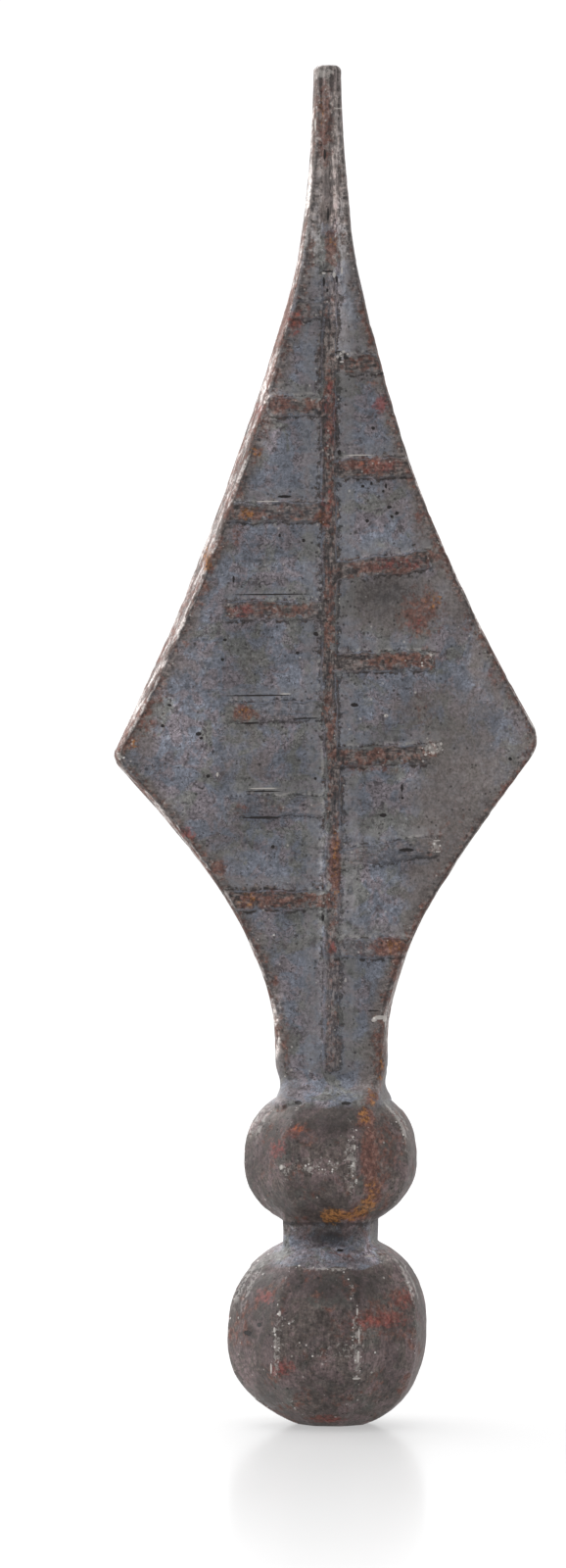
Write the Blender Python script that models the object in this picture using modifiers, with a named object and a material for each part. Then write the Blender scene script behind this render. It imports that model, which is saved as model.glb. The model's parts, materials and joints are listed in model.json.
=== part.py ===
# Fence finial: a flat leaf-shaped spear blade with a raised vein and side bars, standing on two
# eight-sided knops with a short square neck between them. One solid piece of iron.
#
# Frame: +Z up, origin at the middle of the flat underside. The blade lies in the XZ plane and its
# front face looks towards -Y. Neck and knops are turned a little about Z against the blade.

import math

import bmesh
import bpy

MM = 0.001

TOTAL_HEIGHT = 160.0 * MM

# Large knop, an eight-sided turned form on the flat underside
KNOP_SIDES = 8
LARGE_KNOP_RADIUS = 12.15 * MM     # to the corners of the eight-sided section
LARGE_KNOP_MIDDLE = 10.3 * MM      # height of its widest place above the underside
LARGE_KNOP_RISE = 12.0 * MM
LARGE_KNOP_RISE_POWER = 2.4        # 2 is an ellipse, more is squarer
LARGE_KNOP_DROP = 10.95 * MM
LARGE_KNOP_DROP_POWER = 1.92

# Square neck between the knops
NECK_SIDE = 9.9 * MM
NECK_GAP = 0.9 * MM                # between the two knops, as if the neck weren't there
NECK_BURIED = 5.0 * MM             # how far the neck reaches into each knop

# Small knop
SMALL_KNOP_RADIUS = 10.5 * MM
SMALL_KNOP_RISE = 8.9 * MM
SMALL_KNOP_RISE_POWER = 2.6
SMALL_KNOP_DROP = 7.6 * MM
SMALL_KNOP_DROP_POWER = 2.0
SMALL_KNOP_SHIFT = 0.3 * MM        # it stands slightly to the right of the large knop
LARGE_KNOP_TOP = LARGE_KNOP_MIDDLE + LARGE_KNOP_RISE
SMALL_KNOP_MIDDLE = LARGE_KNOP_TOP + NECK_GAP + SMALL_KNOP_DROP
SMALL_KNOP_TOP = SMALL_KNOP_MIDDLE + SMALL_KNOP_RISE

# Foot of the blade, which stands on the small knop
FOOT_SEAT = 0.9 * MM               # how far below the knop's top the foot meets its surface
FOOT_BURIED = 5.5 * MM             # how far the foot reaches down below that
FOOT_HEIGHT = SMALL_KNOP_TOP - FOOT_SEAT
FOOT_NOTCH_RISE = 1.2 * MM         # pinch in the outline just above the small knop
FOOT_NOTCH_DEPTH = 0.55 * MM
FOOT_NOTCH_REACH = 1.5 * MM
FOOT_NOTCH_HEIGHT = FOOT_HEIGHT + FOOT_NOTCH_RISE
WAIST_RISE = 7.2 * MM
WAIST_HALF_WIDTH = 6.3 * MM
WAIST_HEIGHT = FOOT_HEIGHT + WAIST_RISE

# Blade outline, as seen from the front. Left is -X, right is +X.
LOWER_EDGE_RISE = {"left": 32.9 * MM, "right": 34.1 * MM}
CORNER_ROUNDING = {"left": 1.8 * MM, "right": 3.9 * MM}
CORNER_HALF_WIDTH = 26.1 * MM      # where the upper and lower edges would meet, before rounding
TIP_HALF_WIDTH = 1.5 * MM
UPPER_EDGE_SWEEP = 1.92            # 1 is a straight edge, more is a deeper hollow
LOWER_EDGE_SWEEP = 1.66
CORNER_HEIGHT = {side: WAIST_HEIGHT + rise for side, rise in LOWER_EDGE_RISE.items()}

# The blade isn't quite straight: it leans right at the foot and the waist, and bows left above the corners
FOOT_LEAN = 0.6 * MM
WAIST_LEAN = 0.5 * MM
WAIST_LEAN_REACH = 48.0 * MM
BOW = 0.7 * MM
BOW_RISE = 64.0 * MM               # above the waist
BOW_REACH = 19.0 * MM

# Blade thickness
BLADE_THICKNESS = 5.4 * MM
CORNER_THICKNESS = 1.9 * MM
CORNER_THINNING = 4.0              # power of the fall from the middle to the corners
TIP_THICKNESS = 2.3 * MM
TIP_TAPER_LENGTH = 46.0 * MM       # stretch over which the blade thins towards the tip
TIP_DRAWN_LENGTH = 10.0 * MM       # evenly thin stretch at the tip
WAIST_EXTRA_THICKNESS = 1.2 * MM
WAIST_EXTRA_REACH = 8.0 * MM
FOOT_FLARE = 3.0 * MM              # extra thickness where the foot spreads onto the small knop
FOOT_FLARE_REACH = 2.3 * MM
LEAST_RIM = 0.2 * MM               # thinnest the edge gets, half of it on each side
EDGE_CHAMFER = 0.55 * MM
EDGE_CHAMFER_SHARE = 0.3           # at most this share of the half width, near the tip
TIP_CHAMFER = 0.6 * MM

# Turn of the foot, the neck and the knops against the blade
FOOT_TURN = math.radians(-22.0)
TWIST_LENGTH = 40.0 * MM
TWIST_BELOW_WAIST = 2.0 * MM
TWIST_START = WAIST_HEIGHT - TWIST_BELOW_WAIST

# Raised vein and side bars
RELIEF_FRONT = 0.42 * MM
RELIEF_BACK = 0.28 * MM
VEIN_TOP_WIDTH = 1.1 * MM
VEIN_FOOT_WIDTH = 2.3 * MM
VEIN_SHARE = 0.62                  # at most this share of the half width, near the tip
VEIN_BOTTOM_RISE = 3.4 * MM        # where the vein begins to die out, above the foot
VEIN_FADE = 2.0 * MM
VEIN_BOTTOM = FOOT_HEIGHT + VEIN_BOTTOM_RISE
BAR_TOP_WIDTH = 1.4 * MM
BAR_FOOT_WIDTH = 2.6 * MM
BAR_REACH = 12.6 * MM              # from the middle of the blade to the end of a bar
BAR_END_SLOPE = 0.6 * MM
LOWEST_BAR_RISE = {"left": 16.0 * MM, "right": 10.4 * MM}    # above the waist
BAR_PITCH = 11.5 * MM
BAR_UNEVENNESS = {                 # each bar's place against an even row, in shares of the pitch
    "left": (0.0, -0.03, -0.06, -0.03, -0.03, 0.05, 0.03),
    "right": (0.0, -0.03, -0.04, -0.08, -0.1, -0.1, -0.04),
}

# Fineness of the faceted surfaces
PROFILE_STEPS = 11
ROW_SPACING = 2.6 * MM
CORNER_ROW_SPACING = 0.9 * MM
CORNER_ROW_REACH = 5.0 * MM        # close rows run this far above and below the corners
FOOT_ROW_SPACING = 0.8 * MM
PLAIN_ROW_GAP = 0.65 * MM          # least distance of a plain row from one that carries relief
LEAST_ROW_GAP = 0.3 * MM
BAR_END_SHARES = (0.7, 0.8)        # where a bar's end rows stand while it runs out to the edge
MARGIN_SHARES = (0.4, 0.75)        # extra points between the bars' ends and the edge
SMOOTH_ANGLE = math.radians(24.0)

SIDES = {"left": -1.0, "right": 1.0}


def bar_heights(side):
    lowest = WAIST_HEIGHT + LOWEST_BAR_RISE[side]
    return [lowest + BAR_PITCH * (index + off) for index, off in enumerate(BAR_UNEVENNESS[side])]


BAR_HEIGHTS = {side: bar_heights(side) for side in SIDES}


def clear_scene():
    for item in list(bpy.data.objects):
        bpy.data.objects.remove(item, do_unlink=True)


def make_collection(name):
    collection = bpy.data.collections.new(name)
    bpy.context.scene.collection.children.link(collection)
    return collection


def make_material(name, color, roughness, metallic):
    material = bpy.data.materials.new(name)
    material.use_nodes = True
    shader = material.node_tree.nodes["Principled BSDF"]
    shader.inputs["Base Color"].default_value = (*color, 1.0)
    shader.inputs["Roughness"].default_value = roughness
    shader.inputs["Metallic"].default_value = metallic
    return material


def ease(value):
    value = min(max(value, 0.0), 1.0)
    return value * value * (3.0 - 2.0 * value)


def soft_min(a, b, rounding):
    # The smaller of two lengths, with the crossing rounded off
    overlap = max(rounding - abs(a - b), 0.0) / rounding
    return min(a, b) - overlap * overlap * rounding / 4.0


def ramp_down(distance, full, zero):
    # 1 inside the flat top of a rib, 0 beyond its foot, straight between them
    return min(max((zero - distance) / (zero - full), 0.0), 1.0)


def edge_half_width(height, side):
    corner = CORNER_HEIGHT[side]
    up = max(TOTAL_HEIGHT - height, 0.0) / (TOTAL_HEIGHT - corner)
    down = max(height - WAIST_HEIGHT, 0.0) / (corner - WAIST_HEIGHT)
    upper = TIP_HALF_WIDTH + (CORNER_HALF_WIDTH - TIP_HALF_WIDTH) * up ** UPPER_EDGE_SWEEP
    lower = WAIST_HALF_WIDTH + (CORNER_HALF_WIDTH - WAIST_HALF_WIDTH) * down ** LOWER_EDGE_SWEEP
    notch = FOOT_NOTCH_DEPTH * math.exp(-((height - FOOT_NOTCH_HEIGHT) / FOOT_NOTCH_REACH) ** 2)
    return soft_min(upper, lower - notch, CORNER_ROUNDING[side])


def core_thickness(height):
    taper_end = TOTAL_HEIGHT - TIP_DRAWN_LENGTH
    taper = 1.0 - ease((taper_end - height) / TIP_TAPER_LENGTH)
    plate = BLADE_THICKNESS + (TIP_THICKNESS - BLADE_THICKNESS) * taper
    waist = WAIST_EXTRA_THICKNESS * math.exp(-max(height - WAIST_HEIGHT, 0.0) / WAIST_EXTRA_REACH)
    flare = FOOT_FLARE * math.exp(-max(height - FOOT_HEIGHT, 0.0) / FOOT_FLARE_REACH)
    return plate + waist + flare


def half_thickness(x, height):
    loss = (BLADE_THICKNESS - CORNER_THICKNESS) * (abs(x) / CORNER_HALF_WIDTH) ** CORNER_THINNING
    return (core_thickness(height) - loss) / 2.0


def turn_at(height):
    return FOOT_TURN * (1.0 - ease((height - TWIST_START) / TWIST_LENGTH))


def sway_at(height):
    # How far the middle of the blade stands to the right of the underside's middle
    at_waist = ease((height - FOOT_HEIGHT) / WAIST_RISE)
    past_waist = ease((height - WAIST_HEIGHT) / WAIST_LEAN_REACH)
    lean = FOOT_LEAN + (WAIST_LEAN - FOOT_LEAN) * at_waist
    bow = BOW * math.exp(-((height - WAIST_HEIGHT - BOW_RISE) / BOW_REACH) ** 2)
    return lean * (1.0 - past_waist) - bow


def vein_half_widths(half_width):
    # Half the width of the vein's flat top and of its foot
    foot = min(VEIN_FOOT_WIDTH / 2.0, VEIN_SHARE * half_width)
    return foot * VEIN_TOP_WIDTH / VEIN_FOOT_WIDTH, foot


def relief(x, height, side, half_width):
    # Height of the vein and the side bars above the plain face, from 0 to 1
    vein_top, vein_foot = vein_half_widths(half_width)
    fade = ramp_down(VEIN_BOTTOM - height, 0.0, VEIN_FADE)
    vein = ramp_down(abs(x), vein_top, vein_foot) * fade
    bars = 0.0
    for bar_height in BAR_HEIGHTS[side]:
        across = ramp_down(abs(height - bar_height), BAR_TOP_WIDTH / 2.0, BAR_FOOT_WIDTH / 2.0)
        along = ramp_down(abs(x), BAR_REACH - BAR_END_SLOPE, BAR_REACH)
        bars = max(bars, across * along)
    return max(vein, bars)


def face_columns(half_width, chamfer):
    # Distances from the middle of the blade at which one side of a face has its points
    vein_top, vein_foot = vein_half_widths(half_width)
    rim = half_width - chamfer
    span = rim - vein_foot
    bar_top_end = min(BAR_REACH - BAR_END_SLOPE, vein_foot + BAR_END_SHARES[0] * span)
    bar_end = min(BAR_REACH, vein_foot + BAR_END_SHARES[1] * span)
    margin = [bar_end + share * (rim - bar_end) for share in MARGIN_SHARES]
    return [vein_top, vein_foot, bar_top_end, bar_end, *margin, rim]


def blade_section(height):
    # One closed ring of points: front face from left to right, then the back face from right to left
    widths = {side: edge_half_width(height, side) for side in SIDES}
    chamfer = min(EDGE_CHAMFER, EDGE_CHAMFER_SHARE * min(widths.values()))
    columns = []
    for distance in reversed(face_columns(widths["left"], chamfer)):
        columns.append((-distance, "left"))
    columns.append((0.0, "left"))
    for distance in face_columns(widths["right"], chamfer):
        columns.append((distance, "right"))

    def face_point(x, side, direction, raised):
        y = half_thickness(x, height) + raised * relief(x, height, side, widths[side])
        return (x, direction * y)

    def rim_point(side, direction):
        x = SIDES[side] * widths[side]
        return (x, direction * max(half_thickness(x, height) - chamfer, LEAST_RIM / 2.0))

    ring = [rim_point("left", -1.0)]
    ring += [face_point(x, side, -1.0, RELIEF_FRONT) for x, side in columns]
    ring += [rim_point("right", -1.0), rim_point("right", 1.0)]
    ring += [face_point(x, side, 1.0, RELIEF_BACK) for x, side in reversed(columns)]
    ring += [rim_point("left", 1.0)]

    angle = turn_at(height)
    shift = sway_at(height)
    cos_a, sin_a = math.cos(angle), math.sin(angle)
    return [(x * cos_a - y * sin_a + shift, x * sin_a + y * cos_a, height) for x, y in ring]


def evenly_spaced(low, high, spacing):
    steps = max(int((high - low) / spacing), 1)
    return [low + spacing * step for step in range(steps + 1)]


def blade_row_heights():
    bottom = FOOT_HEIGHT - FOOT_BURIED
    top = TOTAL_HEIGHT - TIP_CHAMFER
    heights = [bottom, FOOT_HEIGHT, FOOT_NOTCH_HEIGHT, VEIN_BOTTOM - VEIN_FADE, VEIN_BOTTOM, top]
    for side in SIDES:
        for bar_height in BAR_HEIGHTS[side]:
            for half in (BAR_TOP_WIDTH / 2.0, BAR_FOOT_WIDTH / 2.0):
                heights += [bar_height - half, bar_height + half]
    corner_low = min(CORNER_HEIGHT.values()) - CORNER_ROW_REACH
    corner_high = max(CORNER_HEIGHT.values()) + CORNER_ROW_REACH
    plain = evenly_spaced(FOOT_HEIGHT, WAIST_HEIGHT, FOOT_ROW_SPACING)
    plain += evenly_spaced(corner_low, corner_high, CORNER_ROW_SPACING)
    plain += evenly_spaced(WAIST_HEIGHT, top, ROW_SPACING)
    # Rows that only follow the outline give way to the rows that carry the relief
    for height in plain:
        if all(abs(height - other) > PLAIN_ROW_GAP for other in heights):
            heights.append(height)
    kept = []
    for height in sorted(heights):
        if bottom <= height <= top and (not kept or height - kept[-1] > LEAST_ROW_GAP):
            kept.append(height)
    return kept


def make_blade(collection):
    mesh = bpy.data.meshes.new("blade")
    form = bmesh.new()
    rings = []
    for height in blade_row_heights():
        rings.append([form.verts.new(point) for point in blade_section(height)])
    # The tip is cut off blunt, with its rim drawn in
    last = blade_section(TOTAL_HEIGHT)
    middle = [sum(point[axis] for point in last) / len(last) for axis in range(2)]
    tip_scale = 1.0 - TIP_CHAMFER / (2.0 * TIP_HALF_WIDTH)
    tip = []
    for x, y, height in last:
        x = middle[0] + (x - middle[0]) * tip_scale
        y = middle[1] + (y - middle[1]) * tip_scale
        tip.append(form.verts.new((x, y, height)))
    rings.append(tip)
    count = len(rings[0])
    for lower, upper in zip(rings, rings[1:]):
        for index in range(count):
            after = (index + 1) % count
            form.faces.new((lower[index], lower[after], upper[after], upper[index]))
    form.faces.new(list(reversed(rings[0])))
    form.faces.new(rings[-1])
    bmesh.ops.recalc_face_normals(form, faces=form.faces)
    form.to_mesh(mesh)
    form.free()
    blade = bpy.data.objects.new("blade", mesh)
    collection.objects.link(blade)
    return blade


def knop_profile(radius, middle, rise, rise_power, drop, drop_power, flat_bottom):
    # Corner radius against height, from the top down, as two quarter curves that share a middle
    points = [(0.0, middle + rise)]
    for step in range(1, PROFILE_STEPS + 1):
        angle = math.pi / 2.0 * step / PROFILE_STEPS
        x = radius * math.sin(angle) ** (2.0 / rise_power)
        z = middle + rise * max(math.cos(angle), 0.0) ** (2.0 / rise_power)
        points.append((x, z))
    lowest = math.asin(min(middle / drop, 1.0)) if flat_bottom else math.pi / 2.0
    for step in range(1, PROFILE_STEPS + 1):
        angle = lowest * step / PROFILE_STEPS
        x = radius * max(math.cos(angle), 0.0) ** (2.0 / drop_power)
        z = middle - drop * math.sin(angle) ** (2.0 / drop_power)
        points.append((x, z))
    if flat_bottom:
        points[-1] = (points[-1][0], 0.0)
        points.append((0.0, 0.0))
    else:
        points[-1] = (0.0, middle - drop)
    return points


def make_turned(collection, name, profile, sides):
    # A profile turned in a few flat steps gives a piece with that many flat-sided gores
    mesh = bpy.data.meshes.new(name)
    edges = [(index, index + 1) for index in range(len(profile) - 1)]
    mesh.from_pydata([(x, 0.0, z) for x, z in profile], edges, [])
    turned = bpy.data.objects.new(name, mesh)
    collection.objects.link(turned)
    screw = turned.modifiers.new("turn", "SCREW")
    screw.axis = "Z"
    screw.steps = sides
    screw.render_steps = sides
    screw.use_merge_vertices = True
    screw.merge_threshold = 0.00001
    turned.rotation_euler = (0.0, 0.0, FOOT_TURN + math.pi / sides)
    return turned


def make_large_knop(collection):
    profile = knop_profile(LARGE_KNOP_RADIUS, LARGE_KNOP_MIDDLE, LARGE_KNOP_RISE,
                           LARGE_KNOP_RISE_POWER, LARGE_KNOP_DROP, LARGE_KNOP_DROP_POWER, True)
    return make_turned(collection, "large_knop", profile, KNOP_SIDES)


def make_small_knop(collection):
    profile = knop_profile(SMALL_KNOP_RADIUS, SMALL_KNOP_MIDDLE, SMALL_KNOP_RISE,
                           SMALL_KNOP_RISE_POWER, SMALL_KNOP_DROP, SMALL_KNOP_DROP_POWER, False)
    knop = make_turned(collection, "small_knop", profile, KNOP_SIDES)
    knop.location.x = SMALL_KNOP_SHIFT
    return knop


def make_neck(collection):
    low = LARGE_KNOP_MIDDLE + LARGE_KNOP_RISE - NECK_BURIED
    high = SMALL_KNOP_MIDDLE - SMALL_KNOP_DROP + NECK_BURIED
    bpy.ops.mesh.primitive_cube_add(size=1.0)
    neck = bpy.context.active_object
    neck.name = "neck"
    neck.scale = (NECK_SIDE, NECK_SIDE, high - low)
    bpy.ops.object.transform_apply(location=False, rotation=False, scale=True)
    neck.location = (SMALL_KNOP_SHIFT / 2.0, 0.0, (low + high) / 2.0)
    neck.rotation_euler = (0.0, 0.0, FOOT_TURN)
    for owner in list(neck.users_collection):
        owner.objects.unlink(neck)
    collection.objects.link(neck)
    return neck


def join(finial, pieces):
    for piece in pieces:
        union = finial.modifiers.new("join " + piece.name, "BOOLEAN")
        union.operation = "UNION"
        union.solver = "EXACT"
        union.object = piece
        piece.hide_render = True
        piece.display_type = "WIRE"


def main():
    clear_scene()
    parts = make_collection("spear_finial")
    formers = make_collection("formers")
    iron = make_material("grey_iron", (0.115, 0.12, 0.128), 0.55, 0.6)

    finial = make_blade(parts)
    finial.name = "spear_finial"
    finial.data.name = "spear_finial"
    finial.data.materials.append(iron)
    join(finial, [make_small_knop(formers), make_neck(formers), make_large_knop(formers)])
    finial.data.shade_smooth()
    finial.data.set_sharp_from_angle(angle=SMOOTH_ANGLE)


main()
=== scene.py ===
# Fence finial in dark iron: a flat leaf-shaped spear blade with a raised vein and side bars, on two
# eight-sided knops with a short square neck between them. One fine mesh stands for the plain solid.
import json
import math
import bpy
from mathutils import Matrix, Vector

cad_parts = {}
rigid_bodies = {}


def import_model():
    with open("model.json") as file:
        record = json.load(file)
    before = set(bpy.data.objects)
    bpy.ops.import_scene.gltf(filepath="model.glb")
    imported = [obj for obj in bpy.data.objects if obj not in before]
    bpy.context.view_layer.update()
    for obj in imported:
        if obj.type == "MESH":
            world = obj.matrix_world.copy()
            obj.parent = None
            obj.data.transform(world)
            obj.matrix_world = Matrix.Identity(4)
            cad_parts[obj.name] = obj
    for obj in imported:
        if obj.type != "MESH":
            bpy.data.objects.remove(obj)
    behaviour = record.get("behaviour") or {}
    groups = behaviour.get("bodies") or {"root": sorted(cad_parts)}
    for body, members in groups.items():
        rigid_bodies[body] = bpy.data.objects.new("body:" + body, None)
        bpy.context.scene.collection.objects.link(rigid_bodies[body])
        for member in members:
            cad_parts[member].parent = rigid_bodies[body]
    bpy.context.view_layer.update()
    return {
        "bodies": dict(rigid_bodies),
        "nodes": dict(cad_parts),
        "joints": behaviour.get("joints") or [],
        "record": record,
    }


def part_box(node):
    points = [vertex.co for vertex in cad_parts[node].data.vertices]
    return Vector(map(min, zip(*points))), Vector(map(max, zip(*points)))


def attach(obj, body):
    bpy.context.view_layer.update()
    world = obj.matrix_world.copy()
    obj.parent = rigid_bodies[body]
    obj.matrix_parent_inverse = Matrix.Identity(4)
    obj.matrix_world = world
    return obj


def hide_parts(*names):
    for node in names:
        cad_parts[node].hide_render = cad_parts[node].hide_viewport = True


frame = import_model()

from types import SimpleNamespace

import bmesh
import bpy
import numpy as np
from mathutils import Vector, noise

ironLow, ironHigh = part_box("spear_finial")
mm = 0.001

print("frame loaded")

# All sizes below are millimetres, heights are above the underside, left is -X

whole = {
    "height": (ironHigh.z - ironLow.z) / mm,
    "footTurn": math.radians(-22.0),   # neck and knops stand turned against the blade
    "viewTurn": math.radians(14.0),    # the side from which the marks below are placed
}

knops = {
    "largeRadius": 12.15, "largeMiddle": 10.3,
    "largeRise": 12.0, "largeRisePower": 2.4,
    "largeDrop": 10.95, "largeDropPower": 2.0,
    "smallRadius": 10.5, "smallMiddle": 30.8,
    "smallRise": 8.9, "smallRisePower": 2.6,
    "smallDrop": 7.9, "smallDropPower": 2.0,
    "neckHalf": 5.2, "neckSquareness": 9.0,
    "neckFillet": 0.8,                 # how softly the knops run into the neck
    "gores": 8, "goreBulge": 0.32,     # 0 is flat gores, 1 is round
    "collarHeight": 18.55,             # above it the large knop's shoulder is nearly round
    "collarStep": 0.35, "collarBulge": 0.62,
    "topShift": 0.42, "topShiftReach": 12.0, "bottomShift": 0.65, "bottomShiftReach": 8.0,
    "columns": 128, "rowSpacing": 0.33,
    "undersideRings": (0.08, 0.3, 0.52, 0.74, 0.92),   # shares of the foot's radius
}

blade = {
    "waist": 46.0, "waistHalf": 6.45,
    "footHeight": 38.8, "footBuried": 5.2,
    "notchRise": 1.2, "notchDepth": 0.55, "notchReach": 1.5,
    "cornerRise": {"left": 32.9, "right": 34.1},
    "cornerRounding": {"left": 1.8, "right": 3.3},
    "cornerHalf": 26.1, "tipHalf": 1.5,
    "upperSweep": 1.92, "lowerSweep": 1.66,
    "footLean": 0.75, "waistLean": 0.6, "leanReach": 48.0,
    "pinch": 0.36, "pinchHeight": 137.0, "pinchReach": 8.0,
    "bow": 0.7, "bowRise": 64.0, "bowReach": 19.0,
    "thickness": 5.4, "cornerThickness": 1.9, "thinning": 4.0,
    "tipThickness": 2.3, "tipTaper": 46.0, "tipDrawn": 10.0,
    "waistExtra": 1.2, "waistExtraReach": 8.0,
    "flareDepth": 2.9, "flareTop": 41.3, "flareBottom": 38.2, "flarePower": 1.7,
    "twistStart": 44.0, "twistLength": 40.0,
    "chamfer": 0.55, "chamferShare": 0.3, "tipChamfer": 0.6,
    "footChamfer": {"left": 0.6, "right": 1.6}, "footChamferTop": 52.0, "footChamferReach": 11.0,
}

ribs = {
    "front": 0.4, "back": 0.27,        # how high the vein and the bars stand
    "veinTop": 1.25, "veinFoot": 2.1, "veinShare": 0.62,
    "veinBottom": 42.2, "veinFade": 2.4,
    "barTop": 1.75, "barFoot": 2.5, "barReach": 12.7, "barEndSlope": 0.7,
    "pitch": 11.5,
    "waver": 0.16, "veinWaver": 0.14,  # how far bars and vein wander from a straight line
    "waverFade": 30.0, "veinWaverFrom": 44.0, "veinWaverReach": 6.0, "veinWaverFade": 40.0,
    "slantReach": 3.2,                 # rows this near a slanted bar follow it
    "shiftFull": 1.6, "shiftZero": 5.2,
    "veinBends": ((49.0, 9.0, 0.35), (87.0, 9.0, -0.4), (106.0, 8.0, 0.2)),   # height, reach, sideways
    "lowest": {"left": 62.0, "right": 56.4},
    "unevenness": {
        "left": (0.0, -0.03, -0.06, -0.03, -0.03, 0.05, 0.03),
        "right": (0.0, -0.03, -0.04, -0.08, -0.1, -0.1, -0.04),
    },
    # how brown and rusty each bar is against the panels
    "stain": {
        "left": (1.0, 0.3, 0.35, 0.9, 0.85, 0.85, 0.6),
        "right": (0.6, 0.4, 1.0, 1.0, 1.0, 1.0, 1.0),
    },
    "veinStain": 1.0, "veinStainLow": 0.7, "veinStainTip": 0.35,
    # how much the outer end of each bar stands above its inner end
    "slant": {
        "left": (0.0, 0.1, -0.2, 0.1, 0.0, 0.2, 0.0),
        "right": (0.2, 1.7, 0.3, 0.2, 1.5, 0.3, 0.0),
    },
}

sides = {"left": -1.0, "right": 1.0}


def ease(value):
    value = np.clip(value, 0.0, 1.0)
    return value * value * (3.0 - 2.0 * value)


def softMin(a, b, rounding):
    overlap = np.maximum(rounding - np.abs(a - b), 0.0) / rounding
    return np.minimum(a, b) - overlap * overlap * rounding / 4.0


def softMax(a, b, rounding):
    return -softMin(-a, -b, rounding)


def fallOff(distance, full, zero):
    # 1 up to the full distance, 0 from the zero distance on, eased between
    return 1.0 - ease((distance - full) / (zero - full))


def waves(points, size, octaves=3, seed=0.0):
    # Smooth noise at the given points, about -1 to 1
    shift = Vector((seed * 17.3, seed * 5.1, seed * 9.7))
    found = [noise.fractal(Vector(point) / size + shift, 0.9, 2.1, octaves) for point in points]
    return np.array(found)


# Blade outline and thickness

def edgeHalf(height, side):
    corner = blade["waist"] + blade["cornerRise"][side]
    up = np.maximum(whole["height"] - height, 0.0) / (whole["height"] - corner)
    down = np.maximum(height - blade["waist"], 0.0) / (corner - blade["waist"])
    upper = blade["tipHalf"] + (blade["cornerHalf"] - blade["tipHalf"]) * up ** blade["upperSweep"]
    lower = blade["waistHalf"] + (blade["cornerHalf"] - blade["waistHalf"]) * down ** blade["lowerSweep"]
    fromNotch = (height - blade["footHeight"] - blade["notchRise"]) / blade["notchReach"]
    lower = lower - blade["notchDepth"] * np.exp(-fromNotch ** 2)
    upper = upper - blade["pinch"] * np.exp(-((height - blade["pinchHeight"]) / blade["pinchReach"]) ** 2)
    return softMin(upper, lower, blade["cornerRounding"][side])


def coreThickness(height):
    taper = 1.0 - ease((whole["height"] - blade["tipDrawn"] - height) / blade["tipTaper"])
    plate = blade["thickness"] + (blade["tipThickness"] - blade["thickness"]) * taper
    aboveWaist = np.maximum(height - blade["waist"], 0.0)
    return plate + blade["waistExtra"] * np.exp(-aboveWaist / blade["waistExtraReach"])


def footFlare(height):
    # How far the foot spreads forward and back onto the small knop
    share = (blade["flareTop"] - height) / (blade["flareTop"] - blade["flareBottom"])
    return blade["flareDepth"] * np.clip(share, 0.0, 1.0) ** blade["flarePower"]


def halfThickness(across, height):
    loss = blade["thickness"] - blade["cornerThickness"]
    loss = loss * (np.abs(across) / blade["cornerHalf"]) ** blade["thinning"]
    return (coreThickness(height) - loss) / 2.0


def turnAt(height):
    return whole["footTurn"] * (1.0 - ease((height - blade["twistStart"]) / blade["twistLength"]))


def swayAt(height):
    toWaist = ease((height - blade["footHeight"]) / (blade["waist"] - blade["footHeight"]))
    past = ease((height - blade["waist"]) / blade["leanReach"])
    lean = blade["footLean"] + (blade["waistLean"] - blade["footLean"]) * toWaist
    fromBow = (height - blade["waist"] - blade["bowRise"]) / blade["bowReach"]
    return lean * (1.0 - past) - blade["bow"] * np.exp(-fromBow ** 2)


def chamferAt(height, side):
    wide = blade["footChamfer"][side] * ease((blade["footChamferTop"] - height) / blade["footChamferReach"])
    return blade["chamfer"] + wide


# Raised vein and side bars

def barHeights(side):
    return [ribs["lowest"][side] + ribs["pitch"] * (index + off)
            for index, off in enumerate(ribs["unevenness"][side])]


def veinHalves(halfWidth):
    foot = np.minimum(ribs["veinFoot"] / 2.0, ribs["veinShare"] * halfWidth)
    return foot * ribs["veinTop"] / ribs["veinFoot"], foot


def barsAt(across, height, side):
    found = np.zeros_like(across)
    along = fallOff(np.abs(across), ribs["barReach"] - ribs["barEndSlope"], ribs["barReach"])
    for barHeight in barHeights(side):
        rise = fallOff(np.abs(height - barHeight), ribs["barTop"] / 2.0, ribs["barFoot"] / 2.0)
        found = np.maximum(found, rise * along)
    return found


def veinAt(across, height, halfWidth):
    top, foot = veinHalves(halfWidth)
    return fallOff(np.abs(across), top, foot) * fallOff(ribs["veinBottom"] - height, 0.0, ribs["veinFade"])


def barSlant(across, height, side):
    # Rows near a slanted bar rise towards its outer end, and every row wanders a little
    away = np.abs(across)
    rise = np.zeros_like(away)
    for barHeight, slant in zip(barHeights(side), ribs["slant"][side]):
        near = np.exp(-((height - barHeight) / ribs["slantReach"]) ** 4)
        rise = rise + slant * near * (np.clip(away / ribs["barReach"], 0.0, 1.0) - 0.5)
    wander = 0.6 * np.sin(away * 1.15 + height * 0.31 + sides[side])
    wander = wander + 0.4 * np.sin(away * 2.7 + height * 0.17)
    wander = wander * ease((whole["height"] - height) / ribs["waverFade"]) * ease(away / 2.0)
    return rise + ribs["waver"] * wander


def veinShift(across, height):
    # The vein wanders sideways and takes the columns next to it along
    wander = 0.6 * np.sin(height * 0.83 + 0.6) + 0.4 * np.sin(height * 2.1)
    path = ribs["veinWaver"] * wander * ease((height - ribs["veinWaverFrom"]) / ribs["veinWaverReach"])
    path = path * ease((whole["height"] - height) / ribs["veinWaverFade"])
    for bend, reach, sideways in ribs["veinBends"]:
        path = path + sideways * np.exp(-((height - bend) / reach) ** 2)
    return path * fallOff(np.abs(across), ribs["shiftFull"], ribs["shiftZero"])


# Blade mesh, a loft of closed rings from the foot to the tip

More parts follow.
